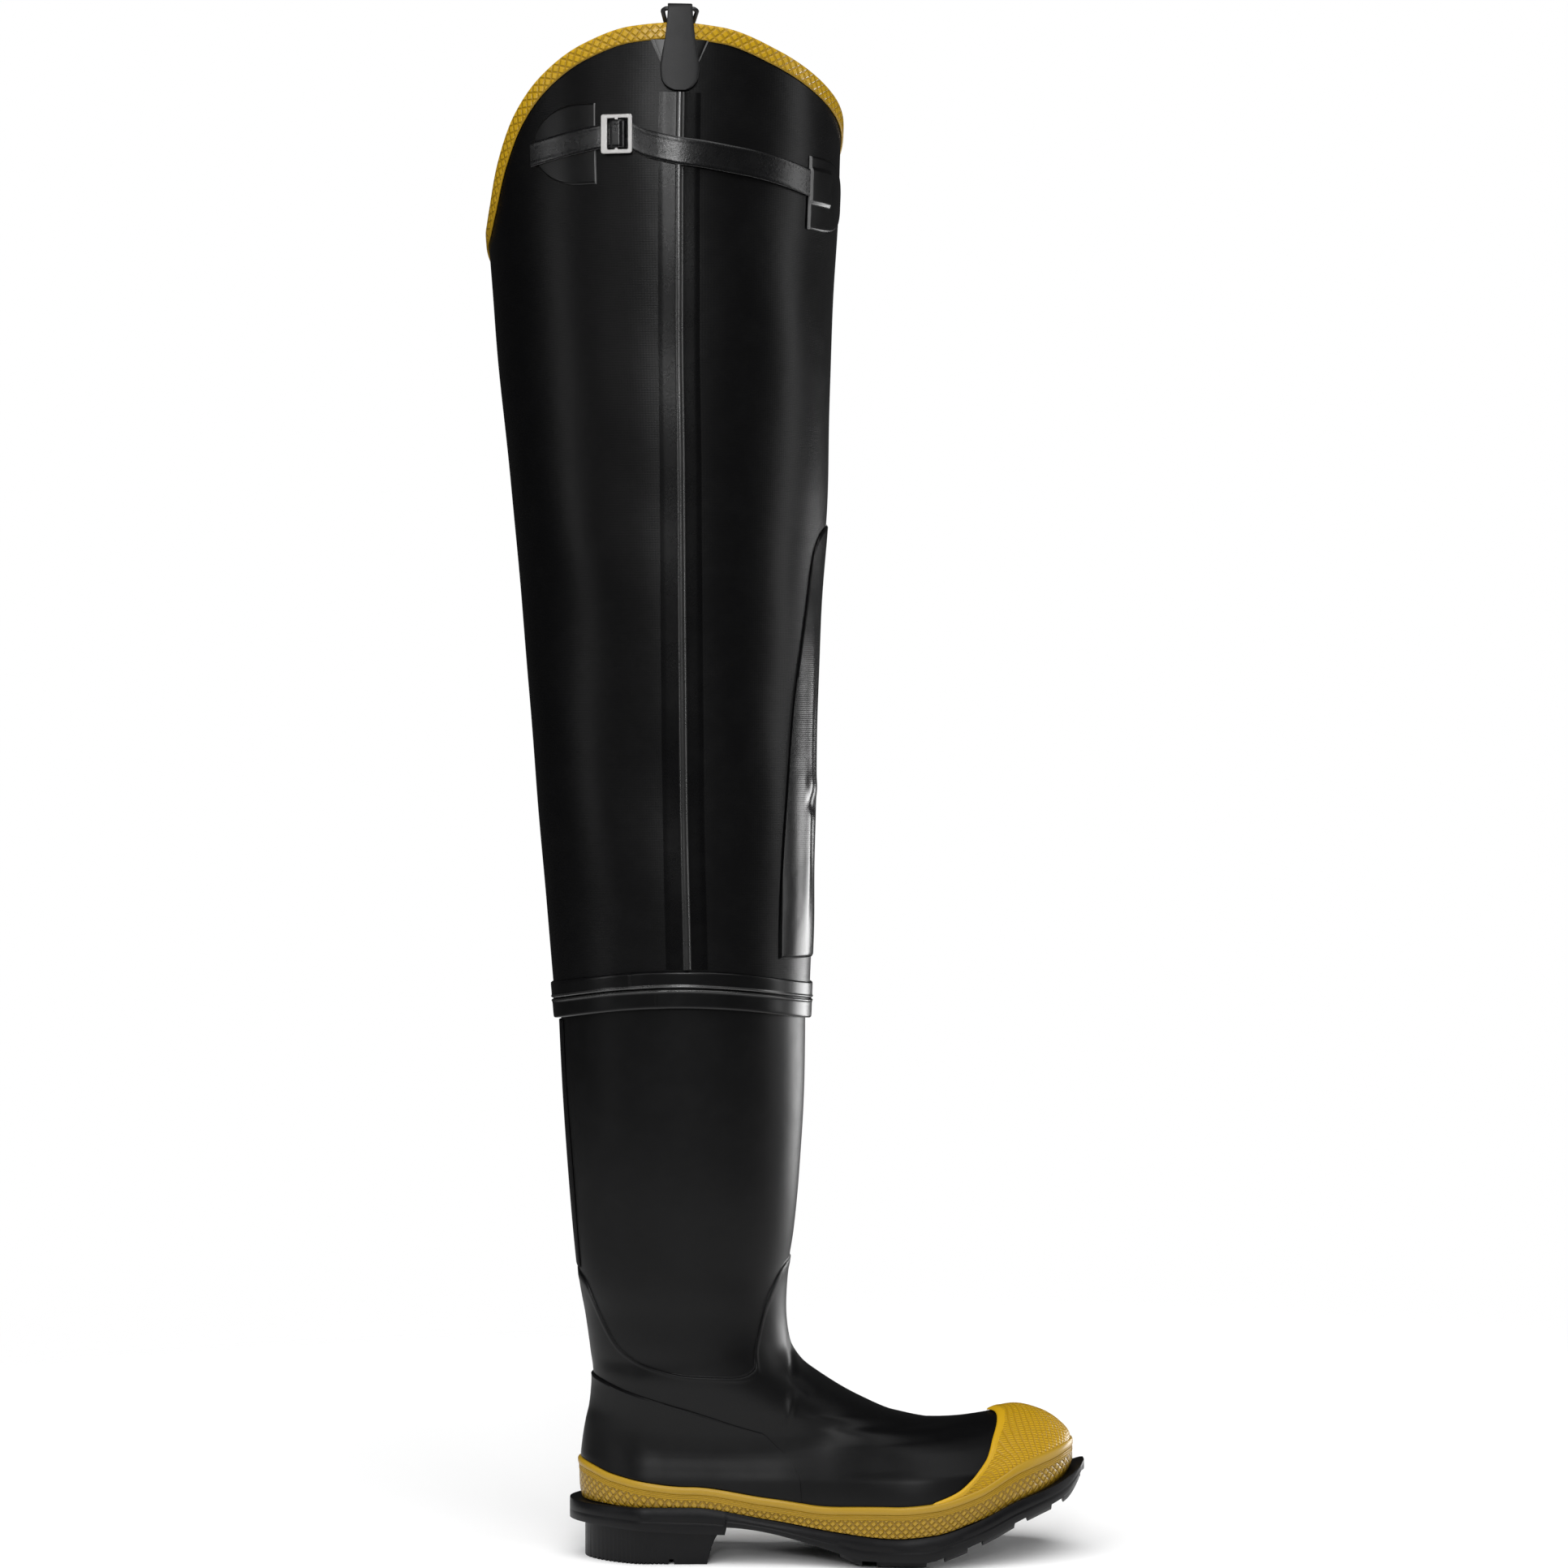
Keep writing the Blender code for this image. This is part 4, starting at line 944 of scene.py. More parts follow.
def sheet_parts(surface: Surface, rows: Array, phi: Array, base: Array | float, thick: Array | float,
                across: Array | None = None, up: Array | None = None) -> MeshParts:
    """A sheet with a rounded rim: its two layers and its edge wall.

    Args:
        surface: The surface it lies on.
        rows: First values, one row for each line of points.
        phi: Angles, one for each column or for each point.
        base: Distance of the under face.
        thick: Thickness of the sheet.
        across: Map place across, in metres.
        up: Map place upwards, in metres.

    Returns:
        The parts of a closed sheet.
    """
    rows, phi = np.broadcast_arrays(rows, phi)
    under = surface.outward(rows, phi, base)
    over = surface.outward(rows, phi, base + np.asarray(thick))
    count, columns = rows.shape
    if across is None:
        steps = np.linalg.norm(np.diff(over, axis=1), axis=-1)
        across = np.concatenate([np.zeros((count, 1)), np.cumsum(steps, axis=1)], axis=1)
        across = across - 0.5 * across[:, -1:]
    if up is None:
        steps = np.linalg.norm(np.diff(over, axis=0), axis=-1)
        up = np.concatenate([np.zeros((1, columns)), np.cumsum(steps, axis=0)], axis=0)
    places = wrapped_places(across, up)
    parts = MeshParts()
    parts.add(under, places, grid_faces(count, columns, False)[:, ::-1])
    parts.add(over, places, grid_faces(count, columns, False))
    rim = ([(0, c) for c in range(columns)] + [(r, columns - 1) for r in range(1, count)]
           + [(count - 1, c) for c in range(columns - 2, -1, -1)] + [(r, 0) for r in range(count - 2, 0, -1)])
    loop = [r * columns + c for r, c in rim]
    layer = count * columns
    total = len(loop)
    parts.faces += [(loop[k], loop[(k + 1) % total], loop[(k + 1) % total] + layer, loop[k] + layer)
                    for k in range(total)]
    parts.slots += [0] * total
    return parts


def loop_parts(section: Array, places: Array) -> MeshParts:
    """A ring of closed sections: rows round the leg, columns round the section.

    Args:
        section: Points by row and column.
        places: Their map places in millimetres.

    Returns:
        The parts of a closed ring.
    """
    count, sides = section.shape[:2]
    parts = MeshParts()
    faces = [((r * sides) + c, (r * sides) + (c + 1) % sides,
              ((r + 1) % count) * sides + (c + 1) % sides, ((r + 1) % count) * sides + c)
             for r in range(count) for c in range(sides)]
    parts.add(section, places, faces)
    return parts


def loft_parts(sections: Array, places: Array) -> MeshParts:
    """A solid through closed sections with flat caps.

    Args:
        sections: Points by section and column.
        places: Their map places in millimetres.

    Returns:
        The parts of the solid.
    """
    count, sides = sections.shape[:2]
    parts = MeshParts()
    faces: list = [tuple(face) for face in grid_faces(count, sides, True)]
    faces += [tuple(range(sides)), tuple((count - 1) * sides + c for c in range(sides))]
    parts.add(sections, places, faces)
    return parts


def circle(columns: int) -> Array:
    """Evenly spread angles of a full turn."""
    return np.linspace(0.0, 2.0 * math.pi, columns, endpoint=False)


# Finishes


class Pattern(Enum):
    """Relief that a finish presses into its surface."""

    PLAIN = "plain"
    WOVEN = "woven"
    KNURLED = "knurled"
    GRAINY = "grainy"
    FLEECE = "fleece"


@dataclass(frozen=True)
class Finish:
    """A material's look.

    Attributes:
        name: Name of the material.
        colour: Linear base colour.
        roughness: Microfacet roughness.
        metallic: Metallic share.
        specular: Specular level.
        pattern: Relief pressed into it.
        pitch: Spacing of the relief in millimetres.
        depth: Depth of the relief in millimetres.
        waves: Height of slow surface unevenness in millimetres.
        dust: Share of lighter, rougher specks and smears.
        groove: Share by which the relief's low parts are painted darker, a painted shade in the grooves.
    """

    name: str
    colour: tuple[float, float, float]
    roughness: float
    metallic: float = 0.0
    specular: float = 0.5
    pattern: Pattern = Pattern.PLAIN
    pitch: float = 1.0
    depth: float = 0.0
    waves: float = 0.0
    dust: float = 0.0
    groove: float = 0.0


class NodeBench:
    """Adds and joins shader nodes."""

    def __init__(self, tree: bpy.types.NodeTree) -> None:
        """Work in one node tree."""
        self.tree = tree

    def node(self, kind: str, **values: str) -> bpy.types.Node:
        """A new node with some of its own properties set.

        Args:
            kind: Type name of the node.
            **values: Its properties.

        Returns:
            The node.
        """
        made = self.tree.nodes.new(kind)
        for key, value in values.items():
            setattr(made, key, value)
        return made

    def feed(self, target: bpy.types.NodeSocket, value: Value) -> None:
        """Join a socket to an input, or set the input's value.

        Args:
            target: The input.
            value: A socket or a number.
        """
        if isinstance(value, bpy.types.NodeSocket):
            self.tree.links.new(value, target)
        else:
            target.default_value = value

    def math(self, operation: str, first: Value, second: Value = 0.0,
             third: Value | None = None) -> bpy.types.NodeSocket:
        """A math node's result.

        Args:
            operation: The node's operation.
            first: Its first value.
            second: Its second value.
            third: Its third value, where it has one.

        Returns:
            The node's output.
        """
        made = self.node("ShaderNodeMath", operation=operation)
        self.feed(made.inputs[0], first)
        self.feed(made.inputs[1], second)
        if third is not None:
            self.feed(made.inputs[2], third)
        return made.outputs[0]

    def wave(self, length: Value, pitch: float) -> bpy.types.NodeSocket:
        """A cosine of a length, from 0 to 1, with the pitch in the same unit."""
        turned = self.math("COSINE", self.math("MULTIPLY", length, 2.0 * math.pi / pitch))
        return self.math("MULTIPLY_ADD", turned, 0.5, 0.5)

    def noise(self, vector: bpy.types.NodeSocket, scale: float, detail: float = 2.0,
              rough: float = 0.5) -> bpy.types.NodeSocket:
        """A noise texture's value.

        Args:
            vector: Where it is read.
            scale: Spots for each unit of length.
            detail: Number of finer layers.
            rough: Strength of the finer layers.

        Returns:
            The texture's output.
        """
        made = self.node("ShaderNodeTexNoise")
        self.feed(made.inputs["Vector"], vector)
        made.inputs["Scale"].default_value = scale
        made.inputs["Detail"].default_value = detail
        made.inputs["Roughness"].default_value = rough
        return made.outputs[0]

    def ramp(self, value: Value, low: float, high: float) -> bpy.types.NodeSocket:
        """A value mapped so that low becomes 0 and high becomes 1, held between.

        Args:
            value: What is mapped.
            low: Becomes 0.
            high: Becomes 1.

        Returns:
            The node's output.
        """
        made = self.node("ShaderNodeMapRange")
        self.feed(made.inputs["Value"], value)
        made.inputs["From Min"].default_value = low
        made.inputs["From Max"].default_value = high
        return made.outputs["Result"]


class FinishMaker:
    """Builds materials from finishes."""

    def __init__(self) -> None:
        """Start with no material made."""
        self.made: dict[str, bpy.types.Material] = {}

    @staticmethod
    def relief(bench: NodeBench, finish: Finish, across: bpy.types.NodeSocket,
               up: bpy.types.NodeSocket, place: bpy.types.NodeSocket) -> bpy.types.NodeSocket | None:
        """Height of the finish's pattern, from 0 to 1.

        Args:
            bench: Where the nodes are added.
            finish: The finish.
            across: Map place across in millimetres.
            up: Map place upwards in millimetres.
            place: The object's own coordinates.

        Returns:
            The height's socket, or nothing for a plain finish.
        """
        if finish.pattern is Pattern.WOVEN:
            rows = bench.wave(up, finish.pitch)
            bent = bench.noise(place, THREAD_BEND_SCALE, 3.0)
            threads = bench.wave(bench.math("MULTIPLY_ADD", bent, 0.5, across), finish.pitch * 1.6)
            return bench.math("MULTIPLY", bench.math("MULTIPLY_ADD", threads, 0.35, rows), 0.74)
        if finish.pattern is Pattern.KNURLED:
            rising = bench.math("ADD", across, up)
            falling = bench.math("SUBTRACT", across, up)
            grooves = [bench.ramp(bench.wave(line, finish.pitch), 0.0, KNURL_RISE)
                       for line in (rising, falling)]
            return bench.math("MULTIPLY", *grooves)
        if finish.pattern is Pattern.GRAINY:
            return bench.noise(place, 1000.0 / finish.pitch, 4.0, 0.7)
        if finish.pattern is Pattern.FLEECE:
            return bench.noise(place, 1000.0 / finish.pitch, 6.0, 0.8)
        return None

    def make(self, finish: Finish) -> bpy.types.Material:
        """The material of a finish, made once.

        Args:
            finish: What it looks like.

        Returns:
            A Principled material with procedural relief.
        """
        if finish.name in self.made:
            return self.made[finish.name]
        material = bpy.data.materials.new(finish.name)
        material.use_nodes = True
        bench = NodeBench(material.node_tree)
        shader = material.node_tree.nodes["Principled BSDF"]
        shader.inputs["Base Color"].default_value = (*finish.colour, 1.0)
        shader.inputs["Roughness"].default_value = finish.roughness
        shader.inputs["Metallic"].default_value = finish.metallic
        shader.inputs["Specular IOR Level"].default_value = finish.specular
        place = bench.node("ShaderNodeTexCoord").outputs["Object"]
        split = bench.node("ShaderNodeSeparateXYZ")
        bench.feed(split.inputs[0], bench.node("ShaderNodeUVMap", uv_map="Millimetres").outputs[0])
        across, up = split.outputs[0], split.outputs[1]
        height = None
        relief = self.relief(bench, finish, across, up, place)
        if relief is not None:
            height = bench.math("MULTIPLY", relief, finish.depth)
        if finish.waves:
            slow = bench.math("MULTIPLY", bench.noise(place, SLOW_SCALE), finish.waves)
            height = slow if height is None else bench.math("ADD", height, slow)
        if height is not None:
            bump = bench.node("ShaderNodeBump")
            bump.inputs["Strength"].default_value = 1.0
            bump.inputs["Distance"].default_value = MM
            bench.feed(bump.inputs["Height"], height)
            bench.feed(shader.inputs["Normal"], bump.outputs[0])
        if finish.dust:
            specks = bench.ramp(bench.noise(place, SPECK_SCALE), *SPECK_RANGE)
            smears = bench.ramp(bench.noise(place, SMEAR_SCALE, 5.0, 0.65), *SMEAR_RANGE)
            marks = bench.math("MULTIPLY_ADD", specks, 0.6, bench.math("MULTIPLY", smears, 0.5))
            rough = bench.math("MULTIPLY_ADD", marks, DUST_ROUGHNESS * finish.dust, finish.roughness)
            bench.feed(shader.inputs["Roughness"], rough)
            mix = bench.node("ShaderNodeMix", data_type="RGBA")
            factor, plain, marked = (mix.inputs[place] for place in COLOUR_MIX_INPUTS)
            bench.feed(factor, bench.math("MULTIPLY", marks, finish.dust))
            plain.default_value = (*finish.colour, 1.0)
            lighter = (min(1.0, part * DUST_GAIN + DUST_LIFT) for part in finish.colour)
            marked.default_value = (*lighter, 1.0)
            bench.feed(shader.inputs["Base Color"], mix.outputs[COLOUR_MIX_OUTPUT])
        # Painted shade: the relief's low parts are multiplied towards a darker colour
        if finish.groove and relief is not None:
            shade = bench.node("ShaderNodeMix", data_type="RGBA", blend_type="MULTIPLY")
            factor, plain, darker = (shade.inputs[place] for place in COLOUR_MIX_INPUTS)
            low = bench.math("MULTIPLY_ADD", relief, -finish.groove, finish.groove)
            bench.feed(factor, bench.math("MAXIMUM", low, 0.0))
            source = shader.inputs["Base Color"]
            if source.is_linked:
                bench.feed(plain, source.links[0].from_socket)
            else:
                plain.default_value = (*finish.colour, 1.0)
            darker.default_value = (*GROOVE_SHADE_COLOUR, 1.0)
            bench.feed(source, shade.outputs[COLOUR_MIX_OUTPUT])
        self.made[finish.name] = material
        return material


YELLOW = (0.44, 0.255, 0.006)
# Darker copy of the yellow rubber for the foxing: painted shade
FOXING_SHADED_YELLOW = (0.31, 0.185, 0.010)
BLACK = (0.0018, 0.0018, 0.0020)

SHAFT_RUBBER = Finish("shaft_rubber", BLACK, 0.36, specular=0.22, pattern=Pattern.WOVEN, pitch=0.9,
                      depth=0.035, waves=0.25, dust=0.25)
PATCH_RUBBER = Finish("patch_rubber", BLACK, 0.25, specular=0.26, pattern=Pattern.WOVEN, pitch=1.2,
                      depth=0.02, waves=0.35, dust=0.2)
TAPE_RUBBER = Finish("tape_rubber", BLACK, 0.27, specular=0.22, pattern=Pattern.GRAINY, pitch=1.6,
                     depth=0.04, waves=0.1, dust=0.25)
# Ridge finish: glossier rubber with a lighter base than BLACK; the lighter base is a painted highlight along
# the tape's ridge and the knee bands' ridge
RIDGE_GLOSS_AND_PAINTED_HIGHLIGHT = Finish("ridge_gloss_and_painted_highlight", (0.014, 0.014, 0.014), 0.27, specular=1.0, pattern=Pattern.GRAINY,
                      pitch=2.2, depth=0.03, dust=0.3)
BOOT_RUBBER = Finish("boot_rubber", BLACK, 0.40, specular=0.21, waves=0.22, dust=0.3)
BAND_RUBBER = Finish("band_rubber", BLACK, 0.30, specular=0.36, waves=0.1, dust=0.3)
STRAP_RUBBER = Finish("strap_rubber", (0.003, 0.003, 0.0033), 0.26, specular=0.6, pattern=Pattern.GRAINY,
                      pitch=1.3, depth=0.10, dust=0.35)
ANCHOR_RUBBER = Finish("anchor_rubber", BLACK, 0.32, specular=0.36, pattern=Pattern.WOVEN, pitch=1.0,
                       depth=0.02, dust=0.3)
BELT_RUBBER = Finish("belt_rubber", (0.007, 0.007, 0.0075), 0.45, specular=0.4, pattern=Pattern.GRAINY,
                     pitch=0.9, depth=0.05, dust=0.4)
# Light grey rim finish with dust specks and grain: a painted highlight along the edges of straps, anchors and
# gusset
EDGE_PAINTED_HIGHLIGHT = Finish("edge_painted_highlight", (0.10, 0.10, 0.10), 0.35, specular=0.7, pattern=Pattern.GRAINY, pitch=0.8,
                  depth=0.25, dust=1.0)
SOLE_RUBBER = Finish("sole_rubber", (0.0035, 0.0035, 0.004), 0.38, specular=0.16, pattern=Pattern.GRAINY,
                     pitch=1.2, depth=0.03, dust=0.5)
YELLOW_PLAIN = Finish("yellow_plain", YELLOW, 0.40, specular=0.4, waves=0.05, dust=0.15)
# The foxing finishes use the darker copy of the yellow: painted shade on the foxing
FOXING_PLAIN = Finish("foxing_plain", FOXING_SHADED_YELLOW, 0.40, specular=0.4, waves=0.05, dust=0.15)
YELLOW_RIB = Finish("yellow_rib", YELLOW, 0.36, specular=0.4, pattern=Pattern.KNURLED, pitch=3.4,
                    depth=0.40, dust=0.15, groove=0.45)
FOXING_KNURL = Finish("foxing_knurl", FOXING_SHADED_YELLOW, 0.34, specular=0.4, pattern=Pattern.KNURLED, pitch=5.0,
                      depth=0.70, dust=0.2, groove=0.60)
# Lighter copy of the yellow rubber for the collar binding: painted light
BINDING_KNURL = Finish("binding_knurl", (0.52, 0.31, 0.010), 0.30, specular=0.4, pattern=Pattern.KNURLED,
                       pitch=6.0, depth=0.45, dust=0.2, groove=0.50)
LINING = Finish("lining_cloth", (0.20, 0.185, 0.16), 0.9, specular=0.2, pattern=Pattern.FLEECE, pitch=0.9,
                depth=0.25)
INSOLE_CLOTH = Finish("insole_cloth", (0.09, 0.085, 0.08), 0.88, specular=0.2, pattern=Pattern.FLEECE,
                      pitch=1.1, depth=0.2)
BRIGHT_STEEL = Finish("bright_steel", (0.58, 0.57, 0.56), 0.33, metallic=1.0, pattern=Pattern.GRAINY,
                      pitch=1.5, depth=0.02, dust=0.2)
DARK_STEEL = Finish("dark_steel", (0.030, 0.030, 0.032), 0.30, metallic=0.5, specular=0.8, dust=0.3)


# Foot and lower leg


@dataclass
class Builder:
    """What every builder of pieces has.

    Attributes:
        finishes: Maker of the materials.
    """

    finishes: FinishMaker

    def show(self, piece: Piece, parts: MeshParts, *finishes: Finish) -> None:
        """Turn gathered parts into a piece, with one finish for each slot."""
        piece.place(parts.mesh(piece.node), *map(self.finishes.make, finishes))


@dataclass
class Foot(Builder):
    """The hollow boot with its insole, foxing, cap, counter and back stay.

    Attributes:
        columns: Columns round the boot.
        creases: Creases and ridges, given one by one.
    """

    columns: int = 310
    creases: tuple[Crease, ...] = ()

    def relief(self, ring: Array, phi: Array) -> Array:
        """Creases and slow waves of the boot, in metres outwards.

        Args:
            ring: Ring number.
            phi: Angle from the back in radians.

        Returns:
            Displacement at each point.
        """
        slow = swell(ring, phi, BOOT_WAVES)
        calm = ease(mirrored_angle(phi), 0.0, 18.0) * (1.0 - ease(ring, 17.0, 18.0)) * ease(ring, 12.0, 14.0)
        points = BOOT.points(ring, phi)
        return sum((crease.height(points) for crease in self.creases), slow * calm)

    def build_upper(self) -> None:
        """The shell, with a rounded step where the foot piece ends under the leg panel."""
        phi = circle(self.columns)
        phi = phi - CREASE_PULL * np.sin(phi - CREASE_ANGLE)
        edge = panel_ring(phi)
        low = np.linspace(0.0, 1.0, 12)[:, None] + 0.0 * edge
        foot = 1.0 + np.linspace(0.0, 1.0, 92)[1:, None] * (edge - 1.0)
        steps = edge + np.array((0.012, 0.03, 0.045, 0.06))[:, None]
        leg = edge + 0.06 + np.linspace(0.0, 1.0, 96)[1:, None] * (LAST_RING - edge - 0.06)
        rings = np.concatenate([low, foot, steps, leg])
        lift = np.concatenate([np.full(len(low) + len(foot) - 1, 1.0), (1.0, 0.86, 0.45, 0.12, 0.0),
                               np.zeros(len(leg))])[:, None] * FOOT_STEP
        lip = 0.00035 * np.exp(-((rings - edge + 0.10) / 0.10) ** 2)
        wide = np.broadcast_to(phi, rings.shape)
        outer = BOOT.outward(rings, wide, lift + lip + self.relief(rings, wide))
        outer[0, :, 2] = seat_height(outer[0, :, 0]) + 2.0 * GAP
        inner_rings = np.linspace(0.0, 1.0, 60)[:, None] * LAST_RING + 0.0 * phi
        inner = BOOT.outward(inner_rings, np.broadcast_to(phi, inner_rings.shape), -FOOT_WALL)
        inner[0, :, 2] = seat_height(inner[0, :, 0]) + 2.0 * GAP
        points = np.concatenate([outer, inner[::-1]])
        across = np.broadcast_to(phi * LEG_MAP_RADIUS, points.shape[:2])
        places = wrapped_places(across, points[..., 2])
        count = len(points)
        parts = MeshParts()
        faces = grid_faces(count, self.columns, True)
        last = (count - 1) * self.columns + np.arange(self.columns)
        first = np.arange(self.columns)
        closing = np.stack([last, np.roll(last, -1), np.roll(first, -1), first], axis=-1)
        faces = np.concatenate([faces, closing])
        parts.add(points, places, faces)
        cut = len(outer) * self.columns
        parts.slots = [1 if min(face) >= cut - self.columns and max(face) >= cut else 0
                       for face in parts.faces]
        self.show(Piece("upper", "boot_rubber"), parts, BOOT_RUBBER, LINING)

    def build_foxing(self) -> None:
        """The yellow band: rounded strip on top, fine ribs, then a knurled face."""
        phi = circle(2 * self.columns)
        top = BOOT.ring_at(foxing_height, phi, 0.0, 6.0)
        deep = BOOT.depth_below(top, phi)
        base = FOOT_STEP + GAP
        full = base + FOXING_THICK
        strip = [(FOXING_BEAD_HALF * (1.0 - math.cos(turn)), full + FOXING_CROWN * math.sin(turn))
                 for turn in np.linspace(0.30, math.pi, 9)]
        start = 2.0 * FOXING_BEAD_HALF
        ribs = [(start + FOXING_RIB_PITCH * rib + share * FOXING_RIB_PITCH, full + sign * FOXING_RIB_RISE)
                for rib in range(FOXING_RIBS)
                for share, sign in ((0.15, -1.0), (0.35, 1.0), (0.65, 1.0), (0.85, -1.0))]
        face_start = start + FOXING_RIB_PITCH * FOXING_RIBS
        section, up, slots = [], [], []
        for distance, out in strip + ribs:
            level = BOOT.below(top, phi, np.array([distance]))[0]
            section.append(BOOT.outward(level, phi, out))
            up.append(-distance + 0.0 * phi)
            slots.append(0)
        for share in np.linspace(0.0, 1.0, 10):
            distance = np.minimum(face_start, deep) + share * np.maximum(deep - face_start, 0.0)
            level = np.array([np.interp(distance[c], *self.runs(top[c], phi[c])) for c in range(len(phi))])
            section.append(BOOT.outward(level, phi, full))
            up.append(-distance)
            slots.append(1)
        under = [0.0 * top, 0.0 * top + 0.5, np.minimum(top, 1.0), 0.5 * (np.minimum(top, 1.0) + top), top]
        for level in under:
            section.append(BOOT.outward(level, phi, base + (GAP if level is under[0] else 0.0)))
            up.append(0.0 * phi)
            slots.append(0)
        rows = np.stack(section, axis=1)
        last_face = len(strip) + len(ribs) + 9
        for row in (last_face, last_face + 1):
            rows[:, row, 2] = seat_height(rows[:, row, 0]) + 2.0 * GAP
        run = fitted_run(rows[:, last_face], FOXING_KNURL.pitch * MM)
        parts = loop_parts(rows, wrapped_places(run[:, None], np.stack(up, axis=1)))
        sides = rows.shape[1]
        parts.slots = [slots[face[0] % sides] if slots[face[1] % sides] else 0 for face in parts.faces]
        self.show(Piece("foxing_band", "yellow_rubber"), parts, FOXING_PLAIN, FOXING_KNURL)

    @staticmethod
    def runs(top: float, angle: float) -> tuple[Array, Array]:
        """Arc distances below an edge at one angle, and their ring numbers.

        Args:
            top: Ring number of the edge.
            angle: Angle from the back in radians.

        Returns:
            The distances and the ring numbers.
        """
        shares = np.linspace(1.0, 0.0, 24) * top
        points = BOOT.points(shares, np.full(shares.shape, angle))
        return run_along(points), shares

    def build_cap(self) -> None:
        """The knurled toe cap with its smooth, slightly raised rear border."""
        start = CAP_LINE[0][0]
        phi = np.radians(np.linspace(start, 360.0 - start, 230))
        lower = BOOT.ring_at(foxing_height, phi, 0.0, 6.0) - 0.10
        border = np.maximum(smooth(mirrored_angle(phi), CAP_LINE), lower + 0.02)
        shares = np.concatenate([np.linspace(0.0, 0.93, 60), np.linspace(0.94, 1.0, 10)])
        rows = lower + shares[:, None] * (border - lower)
        inner = np.minimum(shares[:, None] * (border - lower), (1.0 - shares)[:, None] * (border - lower))
        edge = np.clip(inner / 0.10, 0.0, 1.0)
        number = np.arange(len(phi))
        side = np.clip(np.minimum(number, number[::-1]) / 4.0, 0.0, 1.0)
        thick = CAP_THICK * rounded(edge * side, 0.35)
        rim = 0.00030 * np.exp(-(((border - rows) - 0.16) / 0.09) ** 2)
        parts = sheet_parts(BOOT, rows, phi, FOOT_STEP + OVERLAY_GAP - 0.0004, thick + rim * side)
        near = (border - rows) < 0.30
        total = near.size
        flat = near.ravel()
        parts.slots = [0 if flat[face[0] % total] or face[0] < total else 1 for face in parts.faces]
        self.show(Piece("toe_cap", "yellow_rubber"), parts, YELLOW_PLAIN, YELLOW_RIB)

    def build_counter(self) -> None:
        """The low heel piece, its upper edge thinned out towards the front."""
        end = COUNTER_LINE[-1][0]
        phi = np.radians(np.linspace(-end, end, 190))
        lower = BOOT.ring_at(foxing_height, phi, 0.0, 6.0) - 0.05
        border = np.maximum(smooth(mirrored_angle(phi), COUNTER_LINE), lower + 0.02)
        shares = np.linspace(0.0, 1.0, 56)[:, None]
        rows = lower + shares * (border - lower)
        edge = np.clip((border - rows) / 0.12, 0.0, 1.0) * np.clip((rows - lower) / 0.06, 0.0, 1.0)
        thick = SHEET * rounded(edge, 0.12) * (1.0 - 0.8 * ease(mirrored_angle(phi), 60.0, 84.0))
        relief = self.relief(rows, np.broadcast_to(phi, rows.shape))
        parts = sheet_parts(BOOT, rows, phi, FOOT_STEP + 0.0004 + relief, thick)
        self.show(Piece("heel_counter", "boot_rubber"), parts, BOOT_RUBBER)

    def build_back_stay(self) -> None:
        """The strip up the back of the leg, with rounded long edges."""
        spread = np.linspace(-1.0, 1.0, 41)
        phi = np.radians(15.0 * spread)
        lower = panel_ring(phi) + 0.15
        level = float((knee_band_height(phi, LOWER_BAND[0]) - 4.0 * GAP).min())
        upper = BOOT.ring_at(lambda x: level + 0.0 * x, phi, 12.0, LAST_RING)
        rows = lower + np.linspace(0.0, 1.0, 80)[:, None] * (upper - lower)
        thick = SHEET * crowned(spread, 14, 0.25)
        relief = self.relief(rows, np.broadcast_to(phi, rows.shape))
        parts = sheet_parts(BOOT, rows, phi, GAP + relief, thick)
        self.show(Piece("back_stay", "boot_rubber"), parts, BOOT_RUBBER)

    def build_insole(self) -> None:
        """The cloth-faced footbed."""
        inset = -(FOOT_WALL + INSOLE_PLAY)
        front = FOOT_RINGS[0][0] * SOLE_LENGTH + inset
        back = FOOT_RINGS[0][1] * SOLE_LENGTH - inset
        spread = 0.5 * (1.0 - np.cos(np.linspace(0.04, math.pi - 0.04, 90)))
        sections = []
        for x in back + (front - back) * spread:
            base = float(seat_height(x)) + GAP
            lateral = float(toe_swing(x) - 0.95 * outline_half(x, inset, back, front, Side.LATERAL))
            medial = float(toe_swing(x) + 0.95 * outline_half(x, inset, back, front, Side.MEDIAL))
            top = [(x, medial + (lateral - medial) * s, base + INSOLE_THICK - 0.0006 * (abs(2 * s - 1) ** 8))
                   for s in np.linspace(0.0, 1.0, 17)]
            sections.append([(x, lateral, base), (x, medial, base)] + top)
        sections = np.array(sections)
        parts = loft_parts(sections, wrapped_places(sections[..., 1], sections[..., 0]))
        self.show(Piece("insole", "insole_cloth"), parts, INSOLE_CLOTH)

    def build(self) -> None:
        """Build every piece of the foot and the lower leg but the sole."""
        self.build_upper()
        self.build_foxing()
        self.build_cap()
        self.build_counter()
        self.build_back_stay()
        self.build_insole()


def outline_half(x: float, margin: float, back: float, front: float, side: Side) -> float:
    """Half width of the sole's outline at x, with round ends at back and front.

    Args:
        x: Place along the sole.
        margin: Added to the foot's half width.
        back: Where the outline begins.
        front: Where it ends.
        side: Outer or inner side.

    Returns:
        Metres from the middle line.
    """
    along = np.clip((x - back) / (front - back), 0.0, 1.0)
    column = 1 if side is Side.LATERAL else 2
    width = BALL_WIDTH * smooth(x / SOLE_LENGTH, FOOT_WIDTHS, column) + margin
    return width * 2.0 * np.sqrt(along * (1.0 - along))


# Outsole

